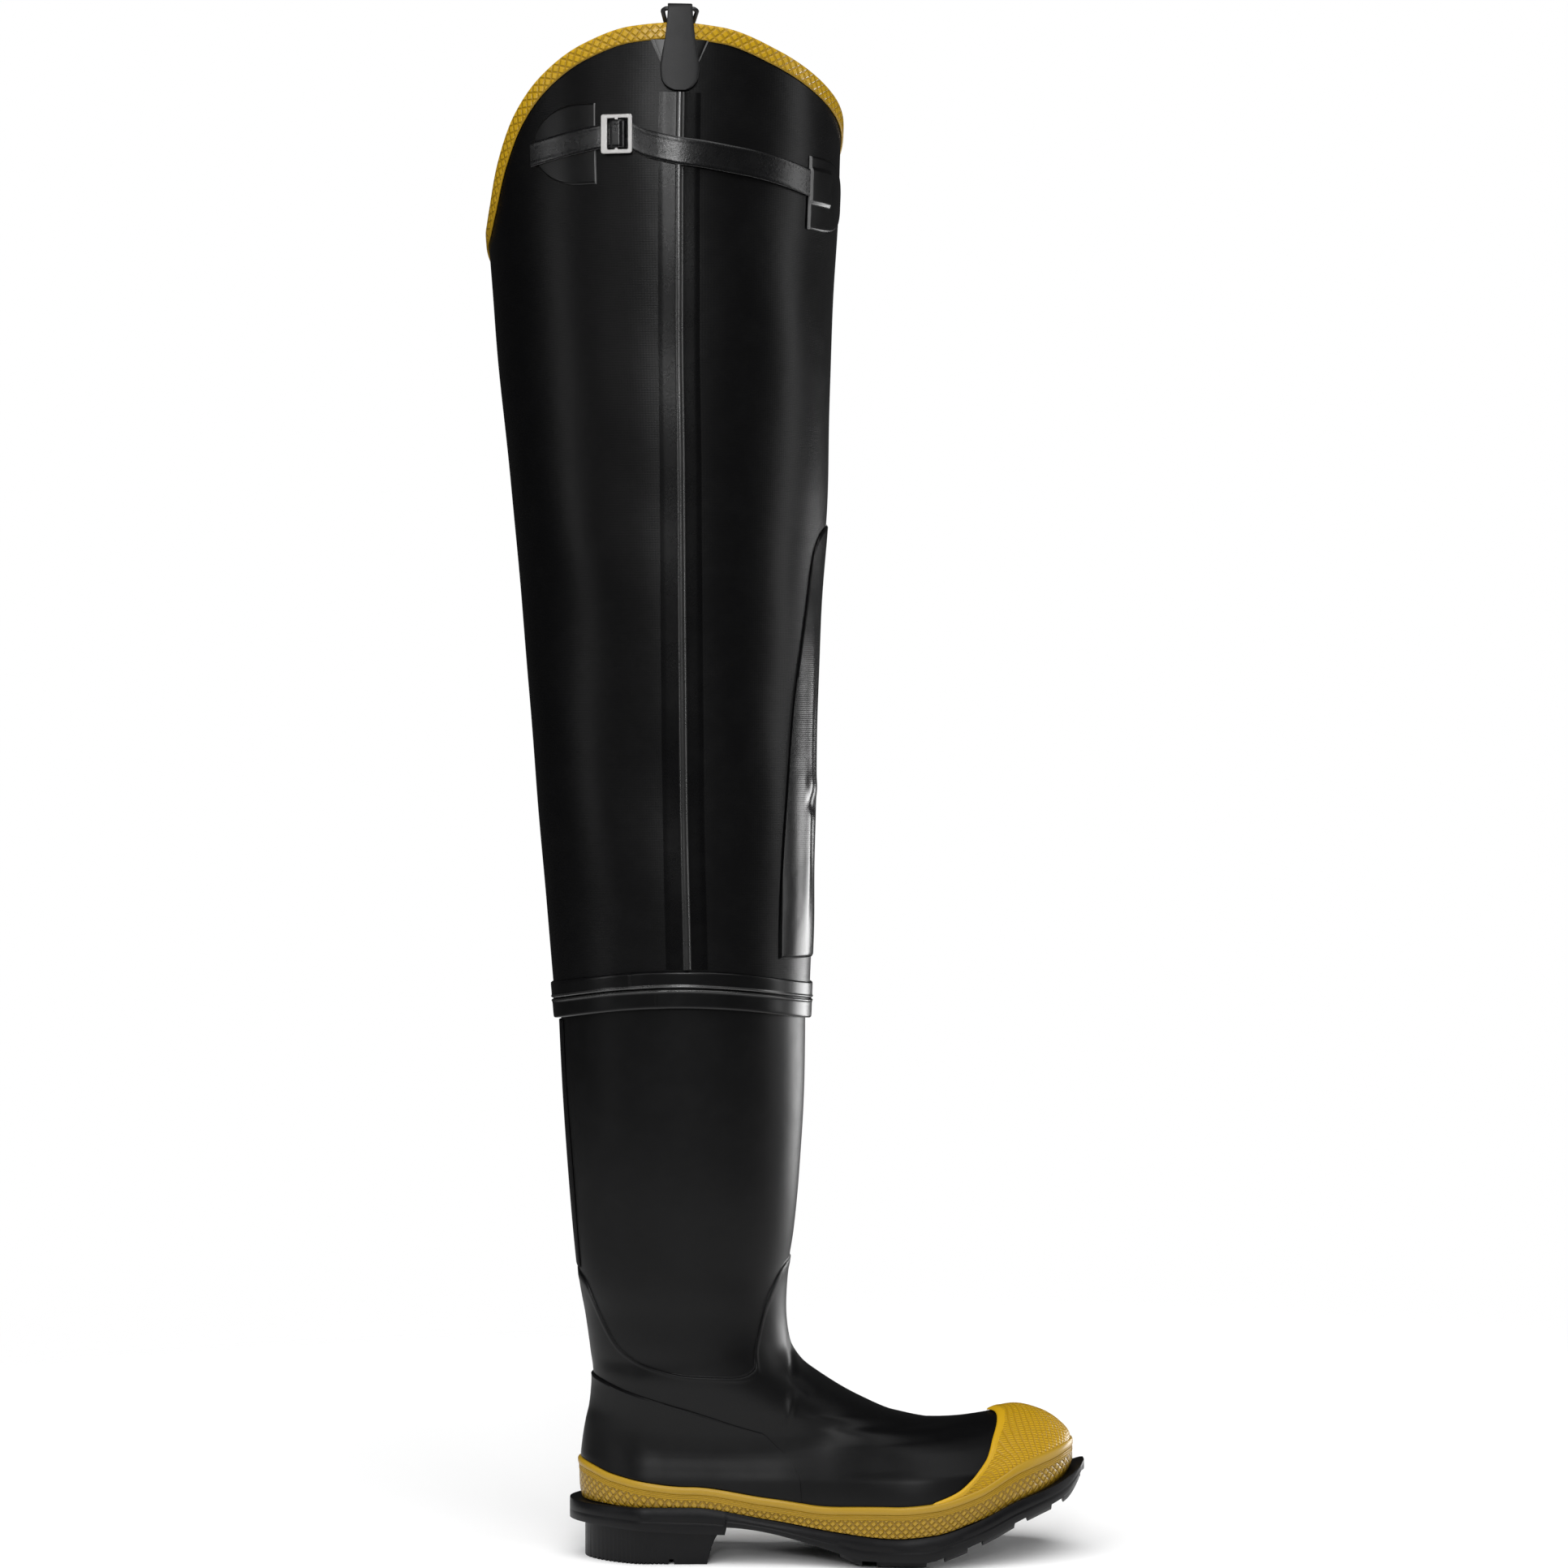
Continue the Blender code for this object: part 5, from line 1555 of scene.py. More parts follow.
@dataclass
class Outsole(Builder):
    """The moulded sole with its heel block, arch, tread lugs and fine heel teeth.

    Attributes:
        lugs: Start and end of each tread lug in metres.
    """

    lugs: tuple[tuple[float, float], ...] = tuple(
        (start * SOLE_LENGTH, end * SOLE_LENGTH) for start, end in FORE_LUGS)

    def stations(self) -> list[float]:
        """Places along the sole, closer together at every edge.

        Returns:
            Values of x, upwards.
        """
        spread = 0.5 * (1.0 - np.cos(np.linspace(0.0, math.pi, 110)))
        places = [float(x) for x in SOLE_BACK + SOLE_LENGTH * (0.0008 + 0.9984 * spread)]
        for start, end in self.lugs:
            places += [start - LUG_DRAFT, start - 0.5 * LUG_DRAFT, start, start + 0.0004,
                       end - 0.0004, end, end + 0.5 * LUG_DRAFT, end + LUG_DRAFT]
        places += [HEEL_BACK, HEEL_BACK + 0.0004, HEEL_BACK + 0.001, HEEL_BACK + 0.002, HEEL_FRONT]
        places += [HEEL_FRONT + BREAST_RUN * share for share in np.linspace(0.05, 1.0, 12)]
        places += [NOTCH[0] - 0.0006, NOTCH[0], NOTCH[1], NOTCH[1] + 0.0006]
        for tooth in range(int((TEETH_END - TEETH_START) / TEETH_PITCH)):
            first = TEETH_START + tooth * TEETH_PITCH
            places += [first, first + 0.0004, first + 0.0012, first + 0.0016]
        kept: list[float] = []
        for x in sorted(places):
            if not kept or x - kept[-1] > 1.2e-4:
                kept.append(x)
        return kept

    def flange_bottom(self, x: float) -> float:
        """Height of the flange's lower edge.

        Args:
            x: Place along the sole.

        Returns:
            Metres above the ground.
        """
        if x < HEEL_FRONT + BREAST_RUN:
            return float(SEAT_HEIGHT * (0.66 - 0.125 * ease(x, SOLE_BACK, HEEL_FRONT + BREAST_RUN)))
        spring = SEAT_HEIGHT * smooth(x / SOLE_LENGTH, SPRING_LINE)
        rise = 0.001 * ease(x, 0.36 * SOLE_LENGTH, 0.40 * SOLE_LENGTH)
        return float(min(spring + LUG_DEPTH + rise, seat_height(x) - 0.004))

    def tread_height(self, x: float) -> float:
        """Height of the lowest face: heel with teeth and notch, arch, lugs and grooves.

        Args:
            x: Place along the sole.

        Returns:
            Metres above the ground.
        """
        flange = self.flange_bottom(x)
        if x < HEEL_BACK + 1e-5:
            return flange
        if x <= HEEL_FRONT + 1e-6:
            if NOTCH[0] - 1e-6 <= x <= NOTCH[1] + 1e-6:
                return NOTCH_DEPTH
            if TEETH_START <= x < TEETH_END:
                within = math.fmod(x - TEETH_START + 1e-7, TEETH_PITCH)
                return TEETH_DEPTH if 0.0003 < within < 0.0013 else 0.0
            return 0.0
        if x < HEEL_FRONT + BREAST_RUN:
            share = (x - HEEL_FRONT) / BREAST_RUN
            return flange * (1.0 - (1.0 - share) ** 2.5) + 0.35 * flange * share * (1.0 - share)
        if any(start - 1e-6 <= x <= end + 1e-6 for start, end in self.lugs):
            return float(SEAT_HEIGHT * smooth(x / SOLE_LENGTH, SPRING_LINE))
        return flange

    def side(self, x: float, side: Side) -> list[tuple[float, float]]:
        """Half section: distance from the middle and height, from the top to the tread.

        Args:
            x: Place along the sole.
            side: Outer or inner side.

        Returns:
            Pairs of distance and height.
        """
        top = float(seat_height(x))
        flange = self.flange_bottom(x)
        low = self.tread_height(x)
        in_heel = x < HEEL_FRONT + BREAST_RUN
        inset = HEEL_INSET if in_heel else TREAD_INSET
        back = HEEL_BACK if in_heel else SOLE_BACK
        corner = 0.0008 if in_heel else LUG_EDGE
        half = float(outline_half(x, OUTSOLE_MARGIN, SOLE_BACK, SOLE_FRONT, side))
        tread = float(outline_half(x, OUTSOLE_MARGIN - inset, back, SOLE_FRONT - inset, side))
        tread = max(min(tread, half - 0.0008), 0.0006)
        inner = tread - min(0.0010, 0.4 * tread) if in_heel else max(0.62 * tread, tread - 0.016)
        edge = min(low + corner, flange - 2e-4) if low < flange - 1e-4 else flange - 1e-4
        bottom = low if low < flange - 1e-4 else flange - 2e-4
        depth = top - flange
        groove = min(0.0011, 0.15 * depth)
        line = top - 0.55 * depth
        return [(half - 0.0004, top), (half + 0.2 * FLANGE_BULGE, top - 0.08 * depth),
                (half + 0.8 * FLANGE_BULGE, top - 0.28 * depth), (half + FLANGE_BULGE, line + groove),
                (half + FLANGE_BULGE - 0.0005, line + 0.4 * groove),
                (half + FLANGE_BULGE - 0.0005, line - 0.2 * groove),
                (half + FLANGE_BULGE, line - groove), (half + 0.75 * FLANGE_BULGE, flange + 0.25 * depth),
                (half + 0.2 * FLANGE_BULGE, flange + 0.1 * depth), (half - 0.0006, flange),
                (tread + 0.0006, flange - 2e-5), (tread, flange - 5e-5 - 0.05 * max(flange - edge, 0.0)),
                (tread - 0.0003, edge), (0.6 * (tread - 0.0003) + 0.4 * inner, 0.8 * bottom + 0.2 * edge),
                (inner - 0.0003, bottom)]

    def build(self) -> None:
        """Loft the sections from heel to toe."""
        sections = []
        for x in self.stations():
            swing = float(toe_swing(x))
            lateral = [(x, swing - y, z) for y, z in self.side(x, Side.LATERAL)]
            medial = [(x, swing + y, z) for y, z in self.side(x, Side.MEDIAL)]
            sections.append(lateral + medial[::-1])
        sections = np.array(sections)
        parts = loft_parts(sections, wrapped_places(sections[..., 1], sections[..., 0]))
        self.show(Piece("outsole", "sole_rubber"), parts, SOLE_RUBBER)


# Thigh shaft and what lies on it


@dataclass(frozen=True)
class StrapPad:
    """The raised rectangle where a strap's end lies under a patch.

    Attributes:
        span: First and last angle in degrees.
        drop: Depth of its middle below COLLAR_TOP.
        width: Its height up the shaft.
        rise: How far it stands out.
    """

    span: tuple[float, float]
    drop: float
    width: float
    rise: float

    def height(self, rows: Array, degrees: Array) -> Array:
        """Extra thickness at heights and angles.

        Args:
            rows: Heights in metres.
            degrees: Angles from the back.

        Returns:
            Metres outwards.
        """
        inside = ease(degrees, self.span[0] - 1.0, self.span[0] + 0.6) * (
            1.0 - ease(degrees, self.span[1] - 0.8, self.span[1] + 0.8))
        off = np.abs(rows - (COLLAR_TOP - self.drop))
        return self.rise * inside * (1.0 - ease(off, 0.5 * self.width - 0.0012, 0.5 * self.width + 0.0012))


FRONT_PAD = StrapPad((146.0, 160.0), 0.0893, 0.0205, 0.0012)


@dataclass
class Thigh(Builder):
    """The shaft with its binding, bands, patches, tape and straps.

    Attributes:
        columns: Columns round the shaft.
        folds: Creases and ridges, given one by one: height and angle from the back.
    """

    columns: int = 240
    folds: tuple[Fold, ...] = ()

    def relief(self, height: Array, phi: Array) -> Array:
        """Creases and slow waves of the shaft, in metres outwards.

        Args:
            height: Height in metres.
            phi: Angle from the back in radians.

        Returns:
            Displacement at each point.
        """
        height, phi = np.broadcast_arrays(height, phi)
        calm = ease(height, SHAFT_BOTTOM + 0.02, SHAFT_BOTTOM + 0.08) * (
            1.0 - ease(height, collar_height(phi) - 0.05, collar_height(phi) - 0.012))
        calm = calm * (0.35 + 0.65 * ease(mirrored_angle(phi), 0.0, 30.0))
        return (folded(self.folds, height, phi) + swell(height, phi, SHAFT_WAVES)) * calm

    def build_shaft(self) -> None:
        """The hollow shaft with its cloth lining."""
        phi = circle(self.columns)
        bottom = SHAFT_BOTTOM + arch(phi)
        rim = collar_height(phi)
        rows = bottom + np.linspace(0.0, 1.0, 250)[:, None] * (rim - bottom)
        wide = np.broadcast_to(phi, rows.shape)
        outer = SHAFT.outward(rows, wide, self.relief(rows, wide))
        low = bottom + np.linspace(0.0, 1.0, 90)[:, None] * (rim - bottom)
        wide = np.broadcast_to(phi, low.shape)
        inner = SHAFT.outward(low, wide, -SHAFT_WALL + self.relief(low, wide))
        points = np.concatenate([outer, inner[::-1]])
        places = wrapped_places(np.broadcast_to(phi * SHAFT_MAP_RADIUS, points.shape[:2]), points[..., 2])
        parts = loop_parts(points.transpose(1, 0, 2), places.transpose(1, 0, 2))
        cut, sides = len(rows), len(points)
        parts.slots = [1 if cut <= face[0] % sides < sides - 1 else 0 for face in parts.faces]
        self.show(Piece("thigh_shaft", "shaft_rubber"), parts, SHAFT_RUBBER, LINING)

    def build_binding(self) -> None:
        """The binding folded over the collar's edge, rounded, with a thin lower edge."""
        phi = circle(2 * self.columns)
        rim = collar_height(phi)
        far = GAP + BINDING_THICK
        deep = SHAFT_WALL + GAP
        profile = [(GAP, -BINDING_WIDTH), (GAP + 0.4 * BINDING_THICK, -BINDING_WIDTH - 0.0001),
                   (far, -BINDING_WIDTH + 0.0005)]
        profile += [(far + 0.0001, level) for level in np.linspace(-BINDING_WIDTH + 0.0012, -0.0012, 5)]
        middle, half = -0.5 * SHAFT_WALL, 0.5 * SHAFT_WALL + far
        profile += [(middle + half * math.cos(turn), 0.9 * far * math.sin(turn))
                    for turn in np.linspace(0.0, math.pi, 11)]
        profile += [(-deep - BINDING_THICK, -BINDING_WIDTH), (-deep, -BINDING_WIDTH),
                    (-deep, GAP), (GAP, GAP)]
        beside = [SHAFT.beside_rim(phi, -up) if up < 0.0 else (rim + up, phi) for _, up in profile]
        section = np.stack([SHAFT.outward(height, angle, out)
                            for (height, angle), (out, _) in zip(beside, profile)], axis=1)
        run = fitted_run(section[:, 5], BINDING_KNURL.pitch * MM)
        up = np.array([level for _, level in profile])
        parts = loop_parts(section, wrapped_places(run[:, None], up[None, :]))
        sides = len(profile)
        parts.slots = [1 if 2 <= face[0] % sides < 14 else 0 for face in parts.faces]
        self.show(Piece("collar_binding", "yellow_rubber"), parts, YELLOW_PLAIN, BINDING_KNURL)

    def build_band(self, node: str, edges: tuple[float, float], lap: float, ridge: float) -> None:
        """A knee band with one ridge and, at one angle, the step of its own overlap.

        Args:
            node: Name of the solid it replaces.
            edges: Lower and upper edge above the shaft's bottom.
            lap: Angle in degrees where its end laps over its start.
            ridge: Place of its ridge as a share of its width.
        """
        phi = circle(2 * self.columns)
        low, high = edges
        past = np.mod(np.degrees(phi) - lap, 360.0)
        step = BAND_LAP_RISE * (1.0 - ease(past, 0.0, BAND_LAP_ANGLE)) * (past < BAND_LAP_ANGLE)
        rises = np.linspace(low, high, 25)
        share = (rises - low) / (high - low)
        crown = BAND_THICK * crowned(2.0 * share - 1.0, 8, 0.50)
        crown = crown + BAND_RIDGE * np.exp(-((share - ridge) / 0.07) ** 2)
        profile = [(GAP, low)] + [(GAP + float(out), float(rise)) for out, rise in zip(crown, rises)]
        profile.append((GAP, high))
        # The ridge's faces get the ridge finish, whose lighter base is a painted highlight along the band
        ridge_highlight_columns = {k + 1 for k in range(len(rises)) if abs(share[k] - ridge) < 0.075}
        section = np.stack([SHAFT.outward(knee_band_height(phi, rise), phi,
                                          out + (step if out > GAP else 0.0))
                            for out, rise in profile], axis=1)
        places = wrapped_places(phi[:, None] * LEG_MAP_RADIUS, np.array([rise for _, rise in profile]))
        parts = loop_parts(section, places)
        parts.mark_columns(len(profile), ridge_highlight_columns)
        self.show(Piece(node, "boot_rubber"), parts, BAND_RUBBER, RIDGE_GLOSS_AND_PAINTED_HIGHLIGHT)

    def build_patch(self) -> None:
        """The tombstone patch with a rounded rim."""
        spread = np.linspace(-1.0, 1.0, 121)
        phi = math.pi + np.radians(PATCH_HALF) * spread
        bottom = BOOT_TOP + PATCH_LIFT
        top = bottom + PATCH_HEIGHT * smooth(np.abs(spread), PATCH_LINE)
        shares = np.linspace(0.0, 1.0, 170)[:, None]
        rows = bottom + shares * (top - bottom)
        near = np.minimum((top - rows), (rows - bottom)) / RIM_ROUNDING
        beside = (1.0 - np.abs(spread)) * math.radians(PATCH_HALF) * 0.5 * KNEE_DEPTH / RIM_ROUNDING
        edge = np.clip(np.minimum(near, beside), 0.0, 1.0)
        thick = SHEET * rounded(edge, 0.15)
        relief = self.relief(rows, phi)
        parts = sheet_parts(SHAFT, rows, phi, GAP + relief, thick,
                            across=spread * math.radians(PATCH_HALF) * 0.08, up=rows)
        self.show(Piece("knee_patch", "shaft_rubber"), parts, PATCH_RUBBER)

    def build_tape(self) -> None:
        """The seam tape with its raised, rounded middle."""
        top = COLLAR_TOP - BELT_FOOT - SHEET
        side = math.radians(TAPE_FOOT_ANGLE)
        bottom = float(knee_band_height(side, UPPER_BAND[1])) + 4.0 * GAP
        reach = np.concatenate([[-0.5, -0.49], np.linspace(-0.42, -0.20, 4), np.linspace(-0.14, 0.14, 25),
                                np.linspace(0.20, 0.42, 4), [0.49, 0.5]]) * TAPE_WIDTH
        share = np.abs(reach) / (0.09 * TAPE_WIDTH)
        ridge = TAPE_RIDGE * crowned(share, 2) * 0.8
        ridge = ridge + 0.2 * TAPE_RIDGE * np.exp(-(share / 1.2) ** 2)
        thick = TAPE_THICK * np.where(np.abs(reach) > 0.485 * TAPE_WIDTH, 0.2, 0.55)
        out = GAP + thick + ridge
        sections = []
        for height in np.linspace(bottom, top, 220):
            rise = (height - SHAFT_BOTTOM) / (top - SHAFT_BOTTOM)
            middle = math.radians(TAPE_FOOT_ANGLE + (TAPE_TOP_ANGLE - TAPE_FOOT_ANGLE) * rise)
            phi = middle + reach / SHAFT.half_depth(height)
            wave = self.relief(height, phi)
            over = SHAFT.outward(height, phi, out + wave)
            under = SHAFT.outward(height, phi, GAP + wave)
            sections.append(np.concatenate([over, under[::-1]]))
        sections = np.array(sections)
        across = np.concatenate([reach, reach[::-1]])
        parts = loft_parts(sections, wrapped_places(across[None, :], sections[..., 2]))
        sides = len(across)
        # The ridge's faces get the ridge finish, whose lighter base is a painted highlight down the tape
        ridge_highlight_mask = np.abs(across) < 0.10 * TAPE_WIDTH
        parts.mark_columns(sides, {side for side in range(sides // 2) if ridge_highlight_mask[side]})
        self.show(Piece("side_seam_tape", "shaft_rubber"), parts, TAPE_RUBBER, RIDGE_GLOSS_AND_PAINTED_HIGHLIGHT)

    def build_gusset(self) -> None:
        """The V patch between the binding and the belt strap."""
        top = COLLAR_TOP - BINDING_WIDTH - 2.0 * GAP
        spread = np.linspace(-0.5, 0.5, 33)
        shares = np.linspace(0.0, 1.0, 40)[:, None]
        width = GUSSET_NARROW + (GUSSET_WIDE - GUSSET_NARROW) * shares
        phi = math.radians(BELT_ANGLE) + spread * width / SHAFT.half_depth(COLLAR_TOP)
        rows = top - GUSSET_HEIGHT * (1.0 - shares) + 0.0 * phi
        parts = sheet_parts(SHAFT, rows, phi, GAP, SHEET * crowned(2.0 * spread, 12, 0.5))
        # The outer columns get the light grey rim finish: a painted highlight along the V's sides
        parts.mark_columns(len(spread), {0, 1, len(spread) - 2, len(spread) - 1})
        self.show(Piece("belt_gusset", "boot_rubber"), parts, BAND_RUBBER, EDGE_PAINTED_HIGHLIGHT)

    def build_anchor(self, node: str, span: tuple[float, float], drop: float, height: float,
                     round_start: bool, pad: StrapPad | None = None) -> None:
        """A D-shaped patch, with a raised pad where a strap's end lies under it.

        Args:
            node: Name of the solid it replaces.
            span: First and last angle in degrees.
            drop: Depth of its middle below COLLAR_TOP.
            height: Its height.
            round_start: True where the round side is the first one.
            pad: The strap's end beneath it.
        """
        share = np.linspace(0.0, 1.0, 90)
        phi = np.radians(span[0] + (span[1] - span[0]) * share)
        far = 1.0 - share if round_start else share
        half = 0.5 * height * np.sqrt(1.0 - 0.97 * np.clip((far - 0.25) / 0.75, 0.0, 1.0) ** 2)
        middle = COLLAR_TOP - drop
        rows = middle + np.linspace(-1.0, 1.0, 70)[:, None] * half
        beside = np.minimum(share, 1.0 - share) * math.radians(span[1] - span[0]) * 0.5 * COLLAR_DEPTH
        near = np.minimum(half - np.abs(rows - middle), beside)
        edge = np.clip(near / 0.0012, 0.0, 1.0)
        thick = SHEET * rounded(edge, 0.2)
        if pad is not None:
            thick = thick + pad.height(rows, np.degrees(phi))
        parts = sheet_parts(SHAFT, rows, phi, GAP, thick)
        last = len(share) - 1
        # The straight side gets the light grey rim finish: a painted highlight along that edge
        parts.mark_columns(len(share), {last - 2, last - 1, last} if round_start else {0, 1, 2})
        self.show(Piece(node, "boot_rubber"), parts, ANCHOR_RUBBER, EDGE_PAINTED_HIGHLIGHT)

    def build_strap(self, node: str, table: Table, width: float, fold: float = 0.0) -> None:
        """A flat strap round the shaft, with rounded edges.

        Args:
            node: Name of the solid it replaces.
            table: Angle, drop of its middle, distance of its under face.
            width: Its width.
            fold: Extra thickness of the doubled end at the table's start.
        """
        angle = np.concatenate([np.linspace(a, b, 9, endpoint=False)
                                for (a, *_), (b, *_) in zip(table, table[1:])] + [[table[-1][0]]])
        middle = COLLAR_TOP - smooth(angle, table, 1)
        stand = smooth(angle, table, 2)
        across = np.concatenate([[-0.5, -0.492], np.linspace(-0.46, 0.46, 15), [0.492, 0.5]])
        rounding = np.concatenate([[0.30, 0.12], np.zeros(15), [0.12, 0.30]]) * STRAP_THICK
        rib = 0.00018 * (np.abs(np.abs(across) - 0.38) < 0.03)
        height = middle[:, None] + across * width
        phi = np.radians(angle)[:, None]
        thick = STRAP_THICK + fold * (1.0 - ease(angle, table[0][0] + 4.0, table[0][0] + 5.0))[:, None]
        under = SHAFT.outward(height, phi, stand[:, None] + rounding)
        over = SHAFT.outward(height, phi, stand[:, None] + thick - rounding + rib)
        section = np.concatenate([under, over[:, ::-1]], axis=1)
        run = np.radians(angle) * 0.5 * COLLAR_DEPTH
        up = np.concatenate([across, across[::-1]]) * width
        parts = loft_parts(section, wrapped_places(run[:, None], up[None, :]))
        sides = section.shape[1]
        # The rounded edges get the light grey rim finish: a painted highlight along the strap's edges
        parts.mark_columns(sides, {0, 1, sides - 1, sides - 2})
        self.show(Piece(node, "boot_rubber"), parts, STRAP_RUBBER, EDGE_PAINTED_HIGHLIGHT)

    def build_belt_strap(self) -> None:
        """The tapered strap up the outside and round the ring's bar in an open eye."""
        half = 0.5 * BELT_STRAP_THICK
        foot = COLLAR_TOP - BELT_FOOT
        bar = COLLAR_TOP + RING_HEIGHT
        out = BELT_STAND + half
        shares = np.concatenate([np.linspace(0.0, 0.16, 30), np.linspace(0.17, 1.0, 70)])
        widths = BELT_STRAP_WIDTH * smooth(shares, BELT_STRAP_LINE, 1)
        places = [(foot + (bar - foot) * share, out, width, half, 0.0)
                  for share, width in zip(shares, widths)]
        radius = 0.5 * RING_WIRE + RING_CLEARANCE + half
        for turn in np.linspace(0.0, EYE_TURN, 41)[1:]:
            c, s = math.cos(turn), math.sin(turn)
            places.append((bar + radius * s, out - radius + radius * c, widths[-1], half * c, half * s))
        across = np.concatenate([[-0.5, -0.488], np.linspace(-0.45, 0.45, 13), [0.488, 0.5]])
        rounding = np.concatenate([[0.55, 0.15], np.zeros(13), [0.15, 0.55]])
        sections, runs, run = [], [], 0.0
        for number, (height, distance, width, thick_out, thick_up) in enumerate(places):
            if number:
                before = places[number - 1]
                run += math.hypot(height - before[0], distance - before[1])
            phi = math.radians(BELT_ANGLE) + across * width / SHAFT.half_depth(COLLAR_TOP)
            inner = SHAFT.outward(height - thick_up * (1.0 - rounding), phi,
                                  distance - thick_out * (1.0 - rounding))
            outer = SHAFT.outward(height + thick_up * (1.0 - rounding), phi,
                                  distance + thick_out * (1.0 - rounding))
            sections.append(np.concatenate([inner, outer[::-1]]))
            runs.append(run)
        up = np.concatenate([across, across[::-1]]) * BELT_STRAP_WIDTH
        parts = loft_parts(np.array(sections), wrapped_places(up[None, :], np.array(runs)[:, None]))
        self.show(Piece("belt_strap", "shaft_rubber"), parts, BELT_RUBBER)

    def build(self) -> None:
        """Build the shaft and everything on it but the metal."""
        self.build_shaft()
        self.build_binding()
        self.build_band("knee_band_lower", LOWER_BAND, 80.0, 0.93)
        self.build_band("knee_band_upper", UPPER_BAND, 69.0, 0.10)
        self.build_patch()
        self.build_tape()
        self.build_gusset()
        self.build_anchor("strap_anchor_rear", REAR_ANCHOR, REAR_ANCHOR_DROP, REAR_ANCHOR_HEIGHT, True)
        self.build_anchor("strap_anchor_front", FRONT_ANCHOR, FRONT_ANCHOR_DROP, FRONT_ANCHOR_HEIGHT, False,
                          FRONT_PAD)
        self.build_strap("thigh_strap_rear", REAR_STRAP, REAR_STRAP_WIDTH)
        self.build_strap("thigh_strap_front", FRONT_STRAP, FRONT_STRAP_WIDTH)
        self.build_belt_strap()


# Metal


